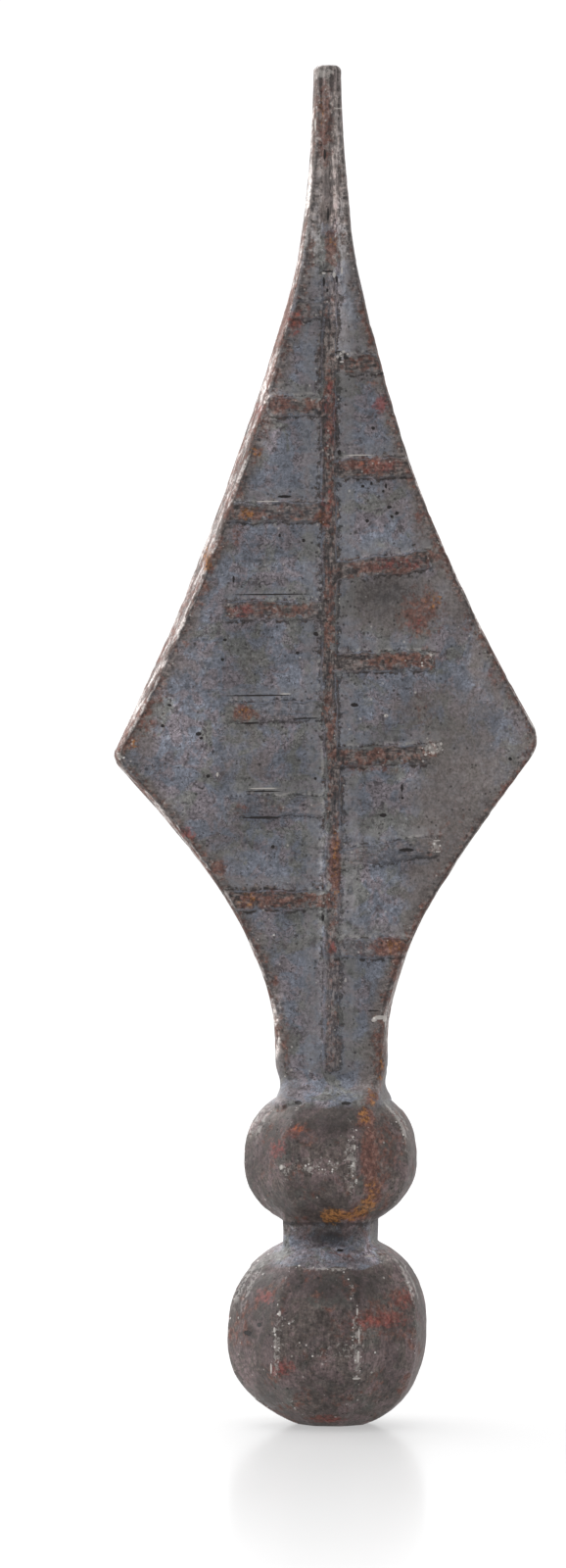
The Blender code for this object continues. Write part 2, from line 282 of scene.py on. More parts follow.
loft = {
    "frontVein": 9, "frontBars": 26, "frontMargin": 15,
    "backVein": 5, "backBars": 13, "backMargin": 7,
    "chamferSteps": 3, "sideSteps": 3, "rimBulge": 0.12,
    "tipSteps": ((0.12, 0.3), (0.34, 0.52), (0.7, 0.58)),   # share drawn in, height gained
    "veinZone": 1.45, "barZone": 13.6, "barZoneShare": 0.74,
    "rowSpacing": 0.44, "footRowSpacing": 0.3, "leastRowGap": 0.1,
    "barRowSteps": (0.8, 0.9, 1.0, 1.1, 1.2, 1.3),
    "leastRim": 0.2,
}


def faceColumns(rim, halfWidth, veinCount, barCount, marginCount):
    veinEnd = min(loft["veinZone"], loft["veinZone"] / (ribs["veinFoot"] / 2.0) * veinHalves(halfWidth)[1])
    veinEnd = min(veinEnd, 0.8 * rim)
    barEnd = min(loft["barZone"], veinEnd + loft["barZoneShare"] * (rim - veinEnd))
    inner = np.linspace(0.0, veinEnd, veinCount + 1)
    middle = np.linspace(veinEnd, barEnd, barCount + 1)[1:]
    outer = np.linspace(barEnd, rim, marginCount + 1)[1:]
    return np.concatenate([inner, middle, outer])


def bladeRing(height):
    # Front face from left to right, right side, back face from right to left, left side
    widths = {side: float(edgeHalf(height, side)) for side in sides}
    chamfers = {}
    for side in sides:
        chamfers[side] = min(float(chamferAt(height, side)), blade["chamferShare"] * widths[side])
    flare = float(footFlare(height))
    ring = []

    def face(direction, raised, counts):
        parts = {}
        for side, sign in sides.items():
            columns = faceColumns(widths[side] - chamfers[side], widths[side], *counts)
            bars = barsAt(columns, height, side)
            vein = veinAt(columns, height, widths[side])
            rise = raised * np.maximum(bars, vein)
            depth = halfThickness(columns, height) + flare + rise
            rows = height + barSlant(columns, height, side)
            places = sign * columns + veinShift(columns, height)
            parts[side] = [(a, direction * d, h) for a, d, h in zip(places, depth, rows)]
        return parts["left"][::-1] + parts["right"][1:]

    def edge(side):
        # From the front rim round to the back rim, without the two rims themselves
        sign, width, chamfer = sides[side], widths[side], chamfers[side]
        rimDepth = float(halfThickness(np.array(width - chamfer), height)) + flare
        sideDepth = float(halfThickness(np.array(width), height)) + flare - chamfer
        sideDepth = max(sideDepth, loft["leastRim"] / 2.0)
        points = []
        for step in range(1, loft["chamferSteps"] + 1):
            share = step / loft["chamferSteps"]
            bulge = loft["rimBulge"] * math.sin(math.pi * share) * chamfer
            points.append((sign * (width - chamfer * (1.0 - share) + bulge),
                           -(rimDepth + (sideDepth - rimDepth) * share + bulge), height))
        for step in range(1, loft["sideSteps"]):
            share = step / loft["sideSteps"]
            points.append((sign * width, -sideDepth * (1.0 - 2.0 * share), height))
        for step in range(loft["chamferSteps"], 0, -1):
            x, y, h = points[step - 1]
            points.append((x, -y, h))
        return points

    ring += face(-1.0, ribs["front"], (loft["frontVein"], loft["frontBars"], loft["frontMargin"]))
    ring += edge("right")
    ring += face(1.0, ribs["back"], (loft["backVein"], loft["backBars"], loft["backMargin"]))[::-1]
    ring += edge("left")[::-1]
    ring = np.array(ring)
    angle, shift = turnAt(ring[:, 2]), swayAt(ring[:, 2])
    x = ring[:, 0] * np.cos(angle) - ring[:, 1] * np.sin(angle) + shift
    y = ring[:, 0] * np.sin(angle) + ring[:, 1] * np.cos(angle)
    return np.column_stack([x, y, ring[:, 2]])


def bladeRows():
    bottom = blade["footHeight"] - blade["footBuried"]
    top = whole["height"] - blade["tipChamfer"]
    heights = []
    for side in sides:
        for barHeight in barHeights(side):
            for step in loft["barRowSteps"]:
                heights += [barHeight - step, barHeight + step]
    barRows = np.array(heights)
    plain = list(np.arange(bottom, blade["waist"], loft["footRowSpacing"]))
    plain += list(np.arange(blade["waist"], top, loft["rowSpacing"]))
    for height in plain:
        if np.min(np.abs(barRows - height)) > loft["rowSpacing"] * 0.45:
            heights.append(height)
    kept = []
    for height in sorted(heights):
        if bottom <= height < top - 0.2 and (not kept or height - kept[-1] > loft["leastRowGap"]):
            kept.append(float(height))
    return kept + [top]


def addRing(form, points):
    return [form.verts.new(Vector(point) * mm) for point in points]


def bridge(form, lower, upper):
    count = len(lower)
    for index in range(count):
        after = (index + 1) % count
        form.faces.new((lower[index], lower[after], upper[after], upper[index]))


def makeBlade():
    form = bmesh.new()
    rings = [addRing(form, bladeRing(height)) for height in bladeRows()]
    last = bladeRing(whole["height"] - blade["tipChamfer"])
    middle = last.mean(axis=0)
    # The blunt tip draws in over three steps and closes with a slightly domed face
    for inward, lift in loft["tipSteps"]:
        drawn = middle + (last - middle) * (1.0 - inward)
        drawn[:, 2] = last[:, 2] + lift
        rings.append(addRing(form, drawn))
    for lower, upper in zip(rings, rings[1:]):
        bridge(form, lower, upper)
    form.faces.new(list(reversed(rings[0])))
    form.faces.new(rings[-1])
    return closeForm(form, "bladeForm")


def closeForm(form, name):
    bmesh.ops.triangulate(form, faces=[f for f in form.faces if len(f.verts) > 4])
    bmesh.ops.recalc_face_normals(form, faces=form.faces)
    mesh = bpy.data.meshes.new(name)
    form.to_mesh(mesh)
    form.free()
    made = bpy.data.objects.new(name, mesh)
    bpy.context.scene.collection.objects.link(made)
    return made


# Knops and neck, one loft round the upright axis

def superRadius(height, radius, middle, rise, risePower, drop, dropPower):
    above = np.clip((height - middle) / rise, 0.0, 1.0)
    below = np.clip((middle - height) / drop, 0.0, 1.0)
    upper = (1.0 - above ** risePower) ** (1.0 / risePower)
    lower = (1.0 - below ** dropPower) ** (1.0 / dropPower)
    inside = (height <= middle + rise) & (height >= middle - drop)
    return np.where(inside, radius * np.where(height > middle, upper, lower), 0.0)


def goreRadius(angle, bulge):
    # Radius of a regular gored section whose corners lie at 1, for an angle against a flat's middle
    part = 2.0 * math.pi / knops["gores"]
    off = (angle + part / 2.0) % part - part / 2.0
    flat = math.cos(part / 2.0) / np.cos(off)
    return flat * (1.0 - bulge) + bulge


def knopRadius(angle, height):
    k = knops
    large = superRadius(height, k["largeRadius"], k["largeMiddle"], k["largeRise"], k["largeRisePower"],
                        k["largeDrop"], k["largeDropPower"])
    small = superRadius(height, k["smallRadius"], k["smallMiddle"], k["smallRise"], k["smallRisePower"],
                        k["smallDrop"], k["smallDropPower"])
    collar = ease((height - k["collarHeight"]) / k["collarStep"])
    large = large * goreRadius(angle, k["goreBulge"] + (k["collarBulge"] - k["goreBulge"]) * collar)
    small = small * goreRadius(angle, k["goreBulge"])
    power = k["neckSquareness"]
    square = (np.abs(np.cos(angle)) ** power + np.abs(np.sin(angle)) ** power) ** (-1.0 / power)
    neck = k["neckHalf"] * square
    between = (height > k["largeMiddle"]) & (height < k["smallMiddle"])
    joined = softMax(softMax(large, small, 0.01), neck, k["neckFillet"])
    return np.where(between, joined, np.maximum(large, small))


def knopShift(height):
    low = knops["bottomShift"] * ease((knops["bottomShiftReach"] - height) / knops["bottomShiftReach"])
    return low + knops["topShift"] * ease((height - knops["largeMiddle"]) / knops["topShiftReach"])


def knopRowHeights():
    # Rows lie evenly along the profile, so the flat shoulders get as many as the upright sides
    top = knops["smallMiddle"] + knops["smallRise"] - 0.004
    fine = np.linspace(0.0, top, 6000)
    profile = knopRadius(np.zeros_like(fine), fine)
    lengths = np.concatenate([[0.0], np.cumsum(np.hypot(np.diff(fine), np.diff(profile)))])
    count = int(lengths[-1] / knops["rowSpacing"])
    return np.interp(np.linspace(0.0, lengths[-1], count), lengths, fine)


def makeKnops():
    form = bmesh.new()
    angles = np.arange(knops["columns"]) * 2.0 * math.pi / knops["columns"]
    turned = angles + whole["footTurn"]

    def ringAt(radii, height):
        shift = float(knopShift(np.array(height)))
        flatHeight = np.full_like(radii, height)
        return np.column_stack([radii * np.cos(turned) + shift, radii * np.sin(turned), flatHeight])

    rings = []
    footRadii = knopRadius(angles, np.zeros_like(angles))
    for share in knops["undersideRings"]:
        rings.append(addRing(form, ringAt(footRadii * share, 0.0)))
    for height in knopRowHeights():
        rings.append(addRing(form, ringAt(knopRadius(angles, np.full_like(angles, height)), height)))
    for lower, upper in zip(rings, rings[1:]):
        bridge(form, lower, upper)
    form.faces.new(list(reversed(rings[0])))
    form.faces.new(rings[-1])
    return closeForm(form, "knopForm")


def unite(finial, other):
    join = finial.modifiers.new("join", "BOOLEAN")
    join.operation = "UNION"
    join.solver = "EXACT"
    join.object = other
    bpy.context.view_layer.update()
    evaluated = finial.evaluated_get(bpy.context.evaluated_depsgraph_get())
    joined = bpy.data.meshes.new_from_object(evaluated)
    finial.modifiers.clear()
    spare = finial.data
    finial.data = joined
    bpy.data.meshes.remove(spare)
    spare = other.data
    bpy.data.objects.remove(other)
    bpy.data.meshes.remove(spare)


def readPoints(mesh):
    points = np.empty(len(mesh.vertices) * 3)
    mesh.vertices.foreach_get("co", points)
    return points.reshape(-1, 3) / mm


def readNormals(mesh):
    normals = np.empty(len(mesh.vertices) * 3)
    mesh.vertices.foreach_get("normal", normals)
    return normals.reshape(-1, 3)


def writePoints(mesh, points):
    mesh.vertices.foreach_set("co", (points * mm).ravel())
    mesh.update()


def localPlace(points):
    # Across and depth in the blade's own turned and shifted section, and the height without the slant
    height = points[:, 2]
    angle, shift = turnAt(height), swayAt(height)
    x, y = points[:, 0] - shift, points[:, 1]
    across = x * np.cos(angle) + y * np.sin(angle)
    depth = -x * np.sin(angle) + y * np.cos(angle)
    level = height.copy()
    across = across - veinShift(across, height)
    for side, sign in sides.items():
        mine = across * sign >= 0.0
        for _ in range(3):
            level[mine] = height[mine] - barSlant(np.abs(across[mine]), level[mine], side)
    return across, depth, level


seam = {"bottom": 37.0, "top": 40.4, "knopTop": 39.6, "reach": 0.55, "rounds": 5, "merge": 0.02}


def softenSeam(finial):
    # The crease where the foot meets the small knop is rounded like a worn weld
    mesh = finial.data
    points = readPoints(mesh)
    x, y = points[:, 0] - knopShift(points[:, 2]), points[:, 1]
    angle = np.arctan2(y, x) - whole["footTurn"]
    offKnop = np.hypot(x, y) - knopRadius(angle, np.minimum(points[:, 2], seam["knopTop"]))
    near = (points[:, 2] > seam["bottom"]) & (points[:, 2] < seam["top"])
    near = near & (np.abs(offKnop) < seam["reach"])
    form = bmesh.new()
    form.from_mesh(mesh)
    form.verts.ensure_lookup_table()
    chosen = [form.verts[i] for i in np.nonzero(near)[0]]
    for _ in range(seam["rounds"]):
        bmesh.ops.smooth_vert(form, verts=chosen, factor=0.5,
                              use_axis_x=True, use_axis_y=True, use_axis_z=True)
    bmesh.ops.remove_doubles(form, verts=form.verts, dist=seam["merge"] * mm)
    form.to_mesh(mesh)
    form.free()


hammer = {
    "broad": 0.085, "broadSize": 7.0,      # soft forged unevenness
    "middle": 0.045, "middleSize": 2.2,
    "fine": 0.02, "fineSize": 0.8,
    "scaleLoss": 0.05, "scaleSize": 1.6,   # shallow flakes where the skin has come off
    "flakeFrom": 0.25, "flakeReach": 0.2,
    "thinMove": 0.45, "thinReach": 30.0, "stillFoot": 0.6,
}

dents = [   # seen across from the axis, height, half width, half height, depth
    (6.2, 48.7, 0.9, 0.3, 0.35),
    (-5.0, 109.4, 0.8, 0.22, 0.32),
    (3.2, 84.9, 0.5, 0.25, 0.25),
    (8.8, 75.0, 0.2, 0.5, 0.22),
    (6.6, 71.9, 0.4, 0.3, 0.2),
    (1.8, 126.0, 0.6, 0.4, 0.25),
    (-15.1, 81.7, 0.5, 0.4, 0.2),
    (21.6, 78.3, 0.35, 0.3, 0.18),
    (-3.4, 38.3, 0.55, 0.3, 0.35),
    (2.2, 38.3, 0.7, 0.25, 0.4),
    (1.5, 21.0, 0.5, 0.25, 0.25),
    (-6.4, 68.3, 0.25, 0.25, 0.15),
    (-14.0, 76.7, 0.3, 0.35, 0.15),
    (-18.5, 85.1, 0.4, 0.3, 0.15),
    (7.8, 107.6, 0.7, 0.5, 0.12),
    (9.4, 67.8, 0.9, 0.3, 0.2),
    (12.7, 68.2, 0.6, 0.7, 0.12),
    (-8.2, 71.7, 2.2, 0.18, 0.2),
    (-7.6, 74.6, 2.0, 0.14, 0.12),
    (-8.1, 86.1, 3.6, 0.14, 0.12),
    (-9.2, 82.9, 1.0, 0.14, 0.14),
    (-2.6, 83.4, 1.5, 0.12, 0.12),
]


def seenAcross(points):
    return points[:, 0] * math.cos(whole["viewTurn"]) - points[:, 1] * math.sin(whole["viewTurn"])


def facingView(normals):
    toView = np.array([-math.sin(whole["viewTurn"]), -math.cos(whole["viewTurn"]), 0.0])
    return ease((normals @ toView - 0.02) / 0.25)


def workSurface(finial):
    mesh = finial.data
    points, normals = readPoints(mesh), readNormals(mesh)
    move = hammer["broad"] * waves(points, hammer["broadSize"], 2, 1.0)
    move += hammer["middle"] * waves(points, hammer["middleSize"], 2, 2.0)
    move += hammer["fine"] * waves(points, hammer["fineSize"], 2, 3.0)
    flakes = waves(points, hammer["scaleSize"], 3, 4.0)
    move -= hammer["scaleLoss"] * ease((flakes - hammer["flakeFrom"]) / hammer["flakeReach"])
    front = facingView(normals)
    across = seenAcross(points)
    for place, height, halfWidth, halfHeight, depth in dents:
        reach = ((across - place) / halfWidth) ** 2 + ((points[:, 2] - height) / halfHeight) ** 2
        move -= depth * np.exp(-reach) * front
    # The cut underside stays flat, and the thin tip moves less
    offFoot = ease(points[:, 2] / hammer["stillFoot"])
    thick = ease((whole["height"] - points[:, 2]) / hammer["thinReach"])
    share = hammer["thinMove"] + (1.0 - hammer["thinMove"]) * thick
    points += normals * (move * offFoot * share)[:, None]
    points[:, 2] = np.clip(points[:, 2], 0.0, whole["height"])
    writePoints(mesh, points)


def makeFinial():
    finial = makeBlade()
    print("blade lofted", len(finial.data.vertices))
    other = makeKnops()
    print("knops lofted", len(other.data.vertices))
    unite(finial, other)
    softenSeam(finial)
    workSurface(finial)
    finial.name = "ironFinial"
    finial.data.name = "ironFinial"
    finial.data.shade_smooth()
    print("finial joined", len(finial.data.polygons))
    return finial


finialPiece = makeFinial()

# Where rust, worn iron, soot and scale lie, and where highlights are painted. Places are seen across from the
# axis, height, half width, half height and strength.

rustPlaces = [
    (-9.5, 107.3, 1.1, 0.9, 0.55), (-7.2, 62.0, 4.4, 1.2, 0.6), (-9.3, 62.0, 1.7, 1.15, 0.35),
    (-8.9, 96.2, 2.6, 1.1, 0.55), (-9.6, 84.1, 1.7, 1.2, 0.75), (-10.1, 72.9, 1.2, 0.8, 0.5),
    (-5.4, 120.3, 1.8, 1.2, 0.65), (5.2, 113.0, 4.2, 1.1, 0.7), (7.3, 101.2, 5.8, 1.1, 0.6),
    (9.0, 90.3, 4.8, 0.9, 0.65), (6.0, 56.3, 3.6, 1.2, 0.35), (7.6, 56.4, 2.2, 1.3, 1.0),
    (11.0, 95.4, 2.9, 3.2, 0.62), (12.2, 96.8, 1.8, 1.8, 0.35), (-3.8, 130.0, 1.0, 1.3, 0.6),
    (-8.3, 114.8, 0.9, 0.9, 0.6), (-21.0, 84.4, 0.7, 0.9, 0.7), (-22.9, 80.5, 0.7, 0.9, 0.75),
    (-22.3, 76.0, 0.9, 0.6, 0.6), (-12.8, 65.7, 1.3, 1.4, 0.65), (-6.1, 52.4, 0.5, 0.8, 0.7),
    (0.4, 119.5, 0.8, 4.6, 0.5), (0.2, 109.0, 1.0, 3.0, 0.5), (-0.6, 107.2, 1.2, 1.1, 0.75),
    (0.3, 97.0, 0.9, 3.2, 0.5), (0.9, 66.0, 0.8, 4.6, 0.85), (0.5, 56.4, 0.8, 1.2, 0.6),
    (0.2, 131.0, 0.9, 3.0, 0.45), (0.5, 138.6, 1.0, 2.6, 0.7), (-0.4, 153.2, 1.2, 5.0, 0.7),
    (6.2, 42.5, 0.8, 3.2, 0.55), (5.2, 39.0, 0.9, 1.0, 0.8), (-4.9, 45.0, 0.5, 3.5, 0.5),
    (6.0, 122.5, 3.0, 0.9, 0.35), (5.2, 77.6, 5.2, 0.9, 0.45), (-4.2, 35.0, 1.3, 0.9, 0.55),
    (5.0, 32.4, 1.2, 4.6, 0.9), (4.5, 36.7, 1.1, 1.7, 0.9), (5.3, 28.0, 1.2, 2.4, 0.9),
    (3.0, 25.2, 2.2, 1.0, 0.85), (6.6, 33.0, 2.2, 4.0, 0.45), (-6.0, 33.1, 0.9, 0.8, 0.3),
    (6.0, 13.4, 3.9, 1.3, 0.7), (8.6, 15.2, 1.9, 1.6, 0.6), (-21.5, 83.0, 2.4, 1.6, 0.5),
    (-19.5, 86.5, 1.2, 2.4, 0.4), (-14.3, 98.8, 0.9, 1.1, 0.55), (11.0, 107.0, 0.8, 3.2, 0.45),
    (13.0, 102.4, 1.5, 1.1, 0.5), (-10.6, 104.8, 0.8, 1.6, 0.5), (-7.2, 117.5, 0.7, 1.4, 0.45),
    (-16.6, 93.2, 0.8, 1.6, 0.4), (16.6, 94.6, 0.9, 2.2, 0.4), (19.8, 88.6, 1.0, 2.0, 0.4),
    (5.2, 127.0, 0.6, 2.6, 0.4), (7.6, 11.6, 3.0, 1.4, 0.35), (-0.2, 1.1, 2.4, 0.6, 0.6),
    (-5.2, 7.6, 1.3, 1.2, 0.45), (1.0, 3.8, 3.0, 1.2, 0.3), (-4.5, 22.6, 0.7, 0.6, 0.3),
    (11.6, 82.0, 1.6, 7.0, 0.22), (13.2, 66.5, 1.8, 5.5, 0.28), (15.5, 71.0, 2.2, 4.5, 0.25),
    (-14.3, 102.0, 0.5, 1.6, 0.75),
]

orangePlaces = [
    (-14.1, 102.0, 0.45, 1.4, 0.75), (-9.5, 107.5, 0.9, 0.8, 0.7), (-9.2, 62.0, 1.7, 1.0, 0.22),
    (1.0, 65.8, 0.5, 4.2, 0.42), (8.0, 56.6, 1.6, 0.9, 0.38), (4.3, 36.9, 0.7, 1.2, 0.6),
    (5.3, 28.2, 0.8, 1.6, 0.5), (4.8, 26.6, 0.9, 1.1, 0.8), (4.0, 25.6, 1.0, 0.7, 0.85),
    (2.6, 25.1, 1.3, 0.6, 0.8), (0.6, 25.1, 1.2, 0.9, 1.4), (5.1, 39.0, 0.7, 1.0, 0.55),
    (-3.4, 35.3, 0.9, 0.6, 0.35), (9.2, 15.8, 1.3, 1.1, 0.15), (5.3, 13.3, 3.0, 1.0, 0.12),
    (-22.9, 80.6, 0.6, 0.7, 0.5), (-8.4, 114.8, 0.7, 0.7, 0.45), (-3.8, 130.3, 0.7, 0.8, 0.2),
    (6.3, 42.0, 0.5, 2.4, 0.4), (-9.9, 84.0, 1.0, 0.8, 0.4), (12.4, 97.0, 1.1, 1.1, 0.4),
    (5.0, 113.0, 2.0, 0.8, 0.2), (-0.4, 107.0, 0.9, 0.9, 0.35), (8.0, 90.2, 2.4, 0.6, 0.15),
    (0.7, 139.4, 0.5, 1.0, 0.3), (-0.6, 154.4, 0.5, 1.6, 0.3),
]

redPlaces = [
    (6.3, 120.3, 0.95, 0.95, 1.0), (-16.4, 69.9, 0.8, 0.8, 0.7), (-7.4, 15.7, 1.0, 0.7, 0.75),
    (-5.2, 7.4, 1.2, 1.0, 0.75), (-6.0, 33.1, 1.0, 1.0, 0.7), (0.3, 1.1, 2.0, 0.5, 0.6),
    (0.6, 56.6, 0.5, 0.8, 0.6), (10.4, 94.2, 1.0, 0.7, 0.45), (5.8, 13.0, 3.2, 0.9, 0.6),
    (8.9, 15.4, 1.3, 1.1, 0.5), (-3.6, 35.2, 1.0, 0.7, 0.5), (-8.6, 119.6, 1.4, 1.0, 0.55),
    (6.0, 112.9, 2.8, 0.7, 0.4), (8.2, 101.4, 3.4, 0.8, 0.3), (-9.8, 96.2, 1.2, 0.8, 0.4),
    (-3.8, 130.0, 0.9, 1.4, 0.4), (0.3, 119.0, 0.8, 5.0, 0.26), (-0.1, 108.0, 0.8, 3.0, 0.25),
]

sootPlaces = [
    (2.0, 12.0, 5.0, 9.0, 0.25), (0.0, 22.3, 2.6, 0.9, 0.9), (-9.1, 11.4, 0.7, 1.1, 0.6),
    (0.8, 36.0, 3.6, 1.4, 0.45), (2.0, 28.0, 3.2, 3.0, 0.25), (3.4, 79.0, 4.0, 1.2, 0.25),
    (8.6, 86.4, 4.2, 3.4, 0.35), (6.3, 98.6, 4.4, 2.2, 0.5), (2.5, 20.0, 2.8, 0.5, 0.5),
    (-5.5, 78.6, 4.5, 2.6, 0.22), (5.4, 118.0, 1.4, 2.6, 0.2), (3.0, 2.0, 4.0, 2.0, 0.3),
]

# Pale places are partly worn bare iron and partly painted highlights: the lit rim of the dent at 48 mm, the
# crisp line along the collar's edge and the top of the tip
palePlaces = [
    (6.2, 48.15, 0.8, 0.25, 1.0), (3.8, 114.1, 1.8, 0.16, 0.8), (12.4, 79.6, 1.1, 0.8, 0.75),
    (12.7, 68.3, 0.7, 0.8, 0.6), (-12.9, 76.9, 0.18, 0.3, 1.0), (-4.9, 86.3, 0.7, 0.12, 0.8),
    (12.2, 90.7, 0.3, 0.3, 0.9), (6.9, 83.6, 0.35, 0.25, 0.8), (-24.4, 79.1, 0.35, 0.5, 0.9),
    (10.3, 57.3, 0.3, 0.4, 0.9), (1.7, 126.1, 0.55, 0.35, 0.7), (-0.5, 159.0, 1.3, 0.5, 0.8),
    (-5.4, 31.0, 0.22, 0.3, 1.1), (-2.0, 31.0, 0.3, 0.25, 0.9), (3.1, 32.0, 0.35, 3.2, 0.62),
    (-6.1, 10.0, 0.3, 3.9, 0.6), (3.5, 9.8, 0.25, 4.6, 0.6), (-4.9, 13.0, 1.4, 0.5, 0.45),
    (0.4, 19.0, 4.6, 0.14, 0.9), (-1.5, 31.2, 4.2, 1.3, 0.32), (2.6, 31.5, 0.8, 4.0, 0.4),
    (-5.8, 11.0, 0.7, 3.6, 0.35), (3.5, 10.5, 0.7, 4.5, 0.4), (0.5, 9.5, 4.0, 1.5, 0.28),
    (12.0, 90.4, 1.6, 1.0, 0.35), (-7.1, 57.5, 2.4, 0.14, 0.3), (-5.7, 20.0, 3.0, 0.9, 0.2),
    (3.5, 6.5, 0.8, 0.3, 0.5),
]

# Some tone places are painted highlights: the vein's lit left flank, the bright left side strip, the small
# knop's upper left shoulder and the collar's right side
toneAndHighlightPlaces = [   # where the skin is lighter all over, or darker with a strength below 0
    (-0.3, 143.0, 2.6, 7.0, 1.0), (0.0, 153.5, 2.4, 6.0, 1.05), (1.2, 140.0, 1.2, 9.0, 0.8),
    (1.5, 128.5, 1.6, 5.0, 0.8), (-17.5, 84.0, 4.2, 8.0, 0.5), (-14.0, 92.0, 2.6, 4.0, 0.4),
    (4.8, 61.0, 4.2, 5.0, 0.5), (0.4, 39.8, 5.2, 1.3, 0.6), (5.6, 40.0, 1.2, 1.6, 0.5),
    (-0.5, 20.9, 5.0, 0.9, 0.7), (7.0, 20.4, 2.2, 1.2, 1.1), (5.1, 22.4, 0.7, 1.6, 0.7),
    (4.6, 104.8, 3.6, 3.0, 0.35), (-5.6, 101.5, 3.6, 2.6, 0.3), (-4.4, 22.6, 0.8, 1.2, 0.6),
    (0.9, 54.0, 1.0, 9.0, 0.25), (8.0, 75.6, 3.4, 2.6, 0.25), (17.0, 76.5, 3.0, 3.0, 0.25),
    (21.5, 80.0, 3.0, 5.5, 0.4), (8.5, 70.5, 5.0, 2.2, 0.4), (-17.5, 72.0, 2.4, 2.5, 0.4),
    (0.6, 68.0, 3.0, 7.0, 0.3), (10.5, 77.0, 1.6, 1.2, 0.35), (4.8, 11.2, 0.9, 1.8, 0.4),
    (-7.0, 121.0, 1.4, 6.0, 1.0), (-5.8, 47.0, 0.7, 4.0, 0.9), (-0.7, 57.0, 0.5, 9.0, 0.6),
    (-0.5, 67.0, 0.6, 7.0, 0.5), (17.5, 90.0, 1.8, 6.0, 0.4), (14.0, 100.0, 1.2, 6.0, 0.3),
    (-4.0, 92.0, 2.0, 7.0, 0.15), (0.3, 11.0, 1.8, 3.2, 0.45), (5.2, 20.4, 1.8, 1.3, 0.65),
    (3.5, 16.6, 0.3, 2.6, -0.8), (7.8, 16.4, 2.0, 2.0, 0.5), (-5.7, 37.6, 1.2, 1.2, 0.7),
    (6.5, 97.2, 4.6, 2.4, -0.6), (-1.0, 35.8, 6.0, 1.9, -0.85), (-7.8, 32.6, 2.0, 2.6, -0.8),
    (9.0, 38.0, 2.4, 1.0, 0.5), (-9.0, 36.0, 1.0, 2.4, 0.8), (0.5, 25.9, 6.0, 1.2, -0.45),
    (-8.3, 15.2, 3.2, 4.2, -1.15), (0.5, 17.2, 5.8, 1.7, -0.95), (-6.6, 7.0, 1.4, 4.6, -0.7),
    (-4.0, 30.0, 1.6, 3.4, -0.2), (3.0, 29.0, 0.8, 2.0, 0.25), (7.6, 5.0, 1.6, 2.0, -0.3),
    (0.8, 22.8, 2.8, 1.0, -0.9), (0.5, 127.0, 4.5, 6.5, -0.22), (0.0, 146.0, 0.5, 9.0, -0.9),
    (-2.3, 138.5, 1.4, 3.6, 0.4), (6.2, 80.5, 3.0, 1.4, -0.2), (3.5, 101.0, 2.4, 2.0, 0.15),
    (-7.4, 99.6, 3.2, 1.0, -0.3),
]

taupePlaces = [   # warm brown-grey skin instead of blue-grey scale
    (16.0, 72.0, 4.6, 9.5, 0.95), (12.0, 60.0, 2.4, 6.5, 0.95), (19.5, 90.0, 2.6, 6.5, 0.6),
    (14.8, 101.0, 2.2, 6.5, 0.8), (11.6, 108.5, 1.6, 5.0, 0.85), (9.0, 116.0, 1.2, 5.0, 0.75),
    (14.5, 84.5, 6.0, 3.2, 0.55), (8.6, 97.0, 5.0, 3.2, 0.95), (3.6, 124.6, 2.4, 1.6, 0.7),
    (-17.0, 91.0, 2.6, 3.0, 0.4), (-9.6, 79.0, 2.4, 3.2, 0.5), (-11.8, 71.0, 2.4, 2.4, 0.35),
    (0.0, 151.0, 3.4, 6.5, 0.85), (-11.5, 66.0, 2.0, 3.0, 0.5), (21.5, 78.0, 3.0, 3.4, 0.55),
    (-4.0, 55.5, 2.4, 2.2, 0.35), (5.6, 42.0, 1.6, 4.0, 0.9), (2.2, 125.0, 1.0, 8.0, 0.5),
    (7.5, 109.0, 2.6, 1.6, 0.4), (-21.5, 83.0, 1.4, 4.0, 0.5), (-8.6, 90.0, 2.4, 2.0, 0.3),
]


def gather(points, front, places, add=False):
    # The strongest place counts at each point, or the sum of all
    across, found = seenAcross(points), np.zeros(len(points))
    for place, height, halfWidth, halfHeight, strength in places:
        reach = np.hypot((across - place) / halfWidth, (points[:, 2] - height) / halfHeight)
        here = strength * (1.0 - ease((reach - 0.3) / 1.3))
        found = found + here if add else np.maximum(found, here)
    return found * front


marking = {   # heights and shares of the general rules
    "bladeBottom": 37.9, "creaseShadeReach": 0.45, "shadowUnderKnop": 24.0, "shadowUnderKnopReach": 0.3,
    "neckMiddle": 22.5, "neckZone": 4.0,
    "collarBottom": 18.9, "collarTop": 22.2, "collarGone": 23.0,
    "footBand": 39.4, "footBandReach": 1.8, "neckScale": 22.6,
    "bareTip": 136.0, "bareTipReach": 9.0, "darkTip": 133.0, "darkTipReach": 12.0,
    "veinLow": 76.0, "veinLowReach": 8.0, "veinTip": 128.0, "veinTipReach": 10.0,
    "slimFrom": 112.0, "slimReach": 22.0, "stripFrom": 42.0, "stripReach": 3.0,
    "gleamLines": (0.89, 0.95), "gleamFull": 0.006, "gleamGone": 0.026,   # shares of the knop's radius
    "gleamRight": 0.62, "gleamLeft": 0.34,
}


def ribDistances(across, level):
    # Distance from the nearest bar, which side of it, and how brown that bar is
    fromBar, overBar = np.full(len(across), 9.0), np.zeros(len(across))
    barStain = np.zeros(len(across))
    for side, sign in sides.items():
        mine = across * sign >= 0.0
        for barHeight, stain in zip(barHeights(side), ribs["stain"][side]):
            off = level[mine] - barHeight
            nearer = np.abs(off) < fromBar[mine]
            fromBar[mine] = np.where(nearer, np.abs(off), fromBar[mine])
            overBar[mine] = np.where(nearer, np.clip(off / 0.5, -1.0, 1.0), overBar[mine])
            barStain[mine] = np.where(nearer, stain, barStain[mine])
    return fromBar, overBar, barStain


def knopCorners(points):
    # Distance along the surface from the nearest of the knops' upright corner lines
    angle = np.arctan2(points[:, 1], points[:, 0] - knopShift(points[:, 2])) - whole["footTurn"]
    part = 2.0 * math.pi / knops["gores"]
    return np.abs((angle % part) - part / 2.0) * np.hypot(points[:, 0], points[:, 1])


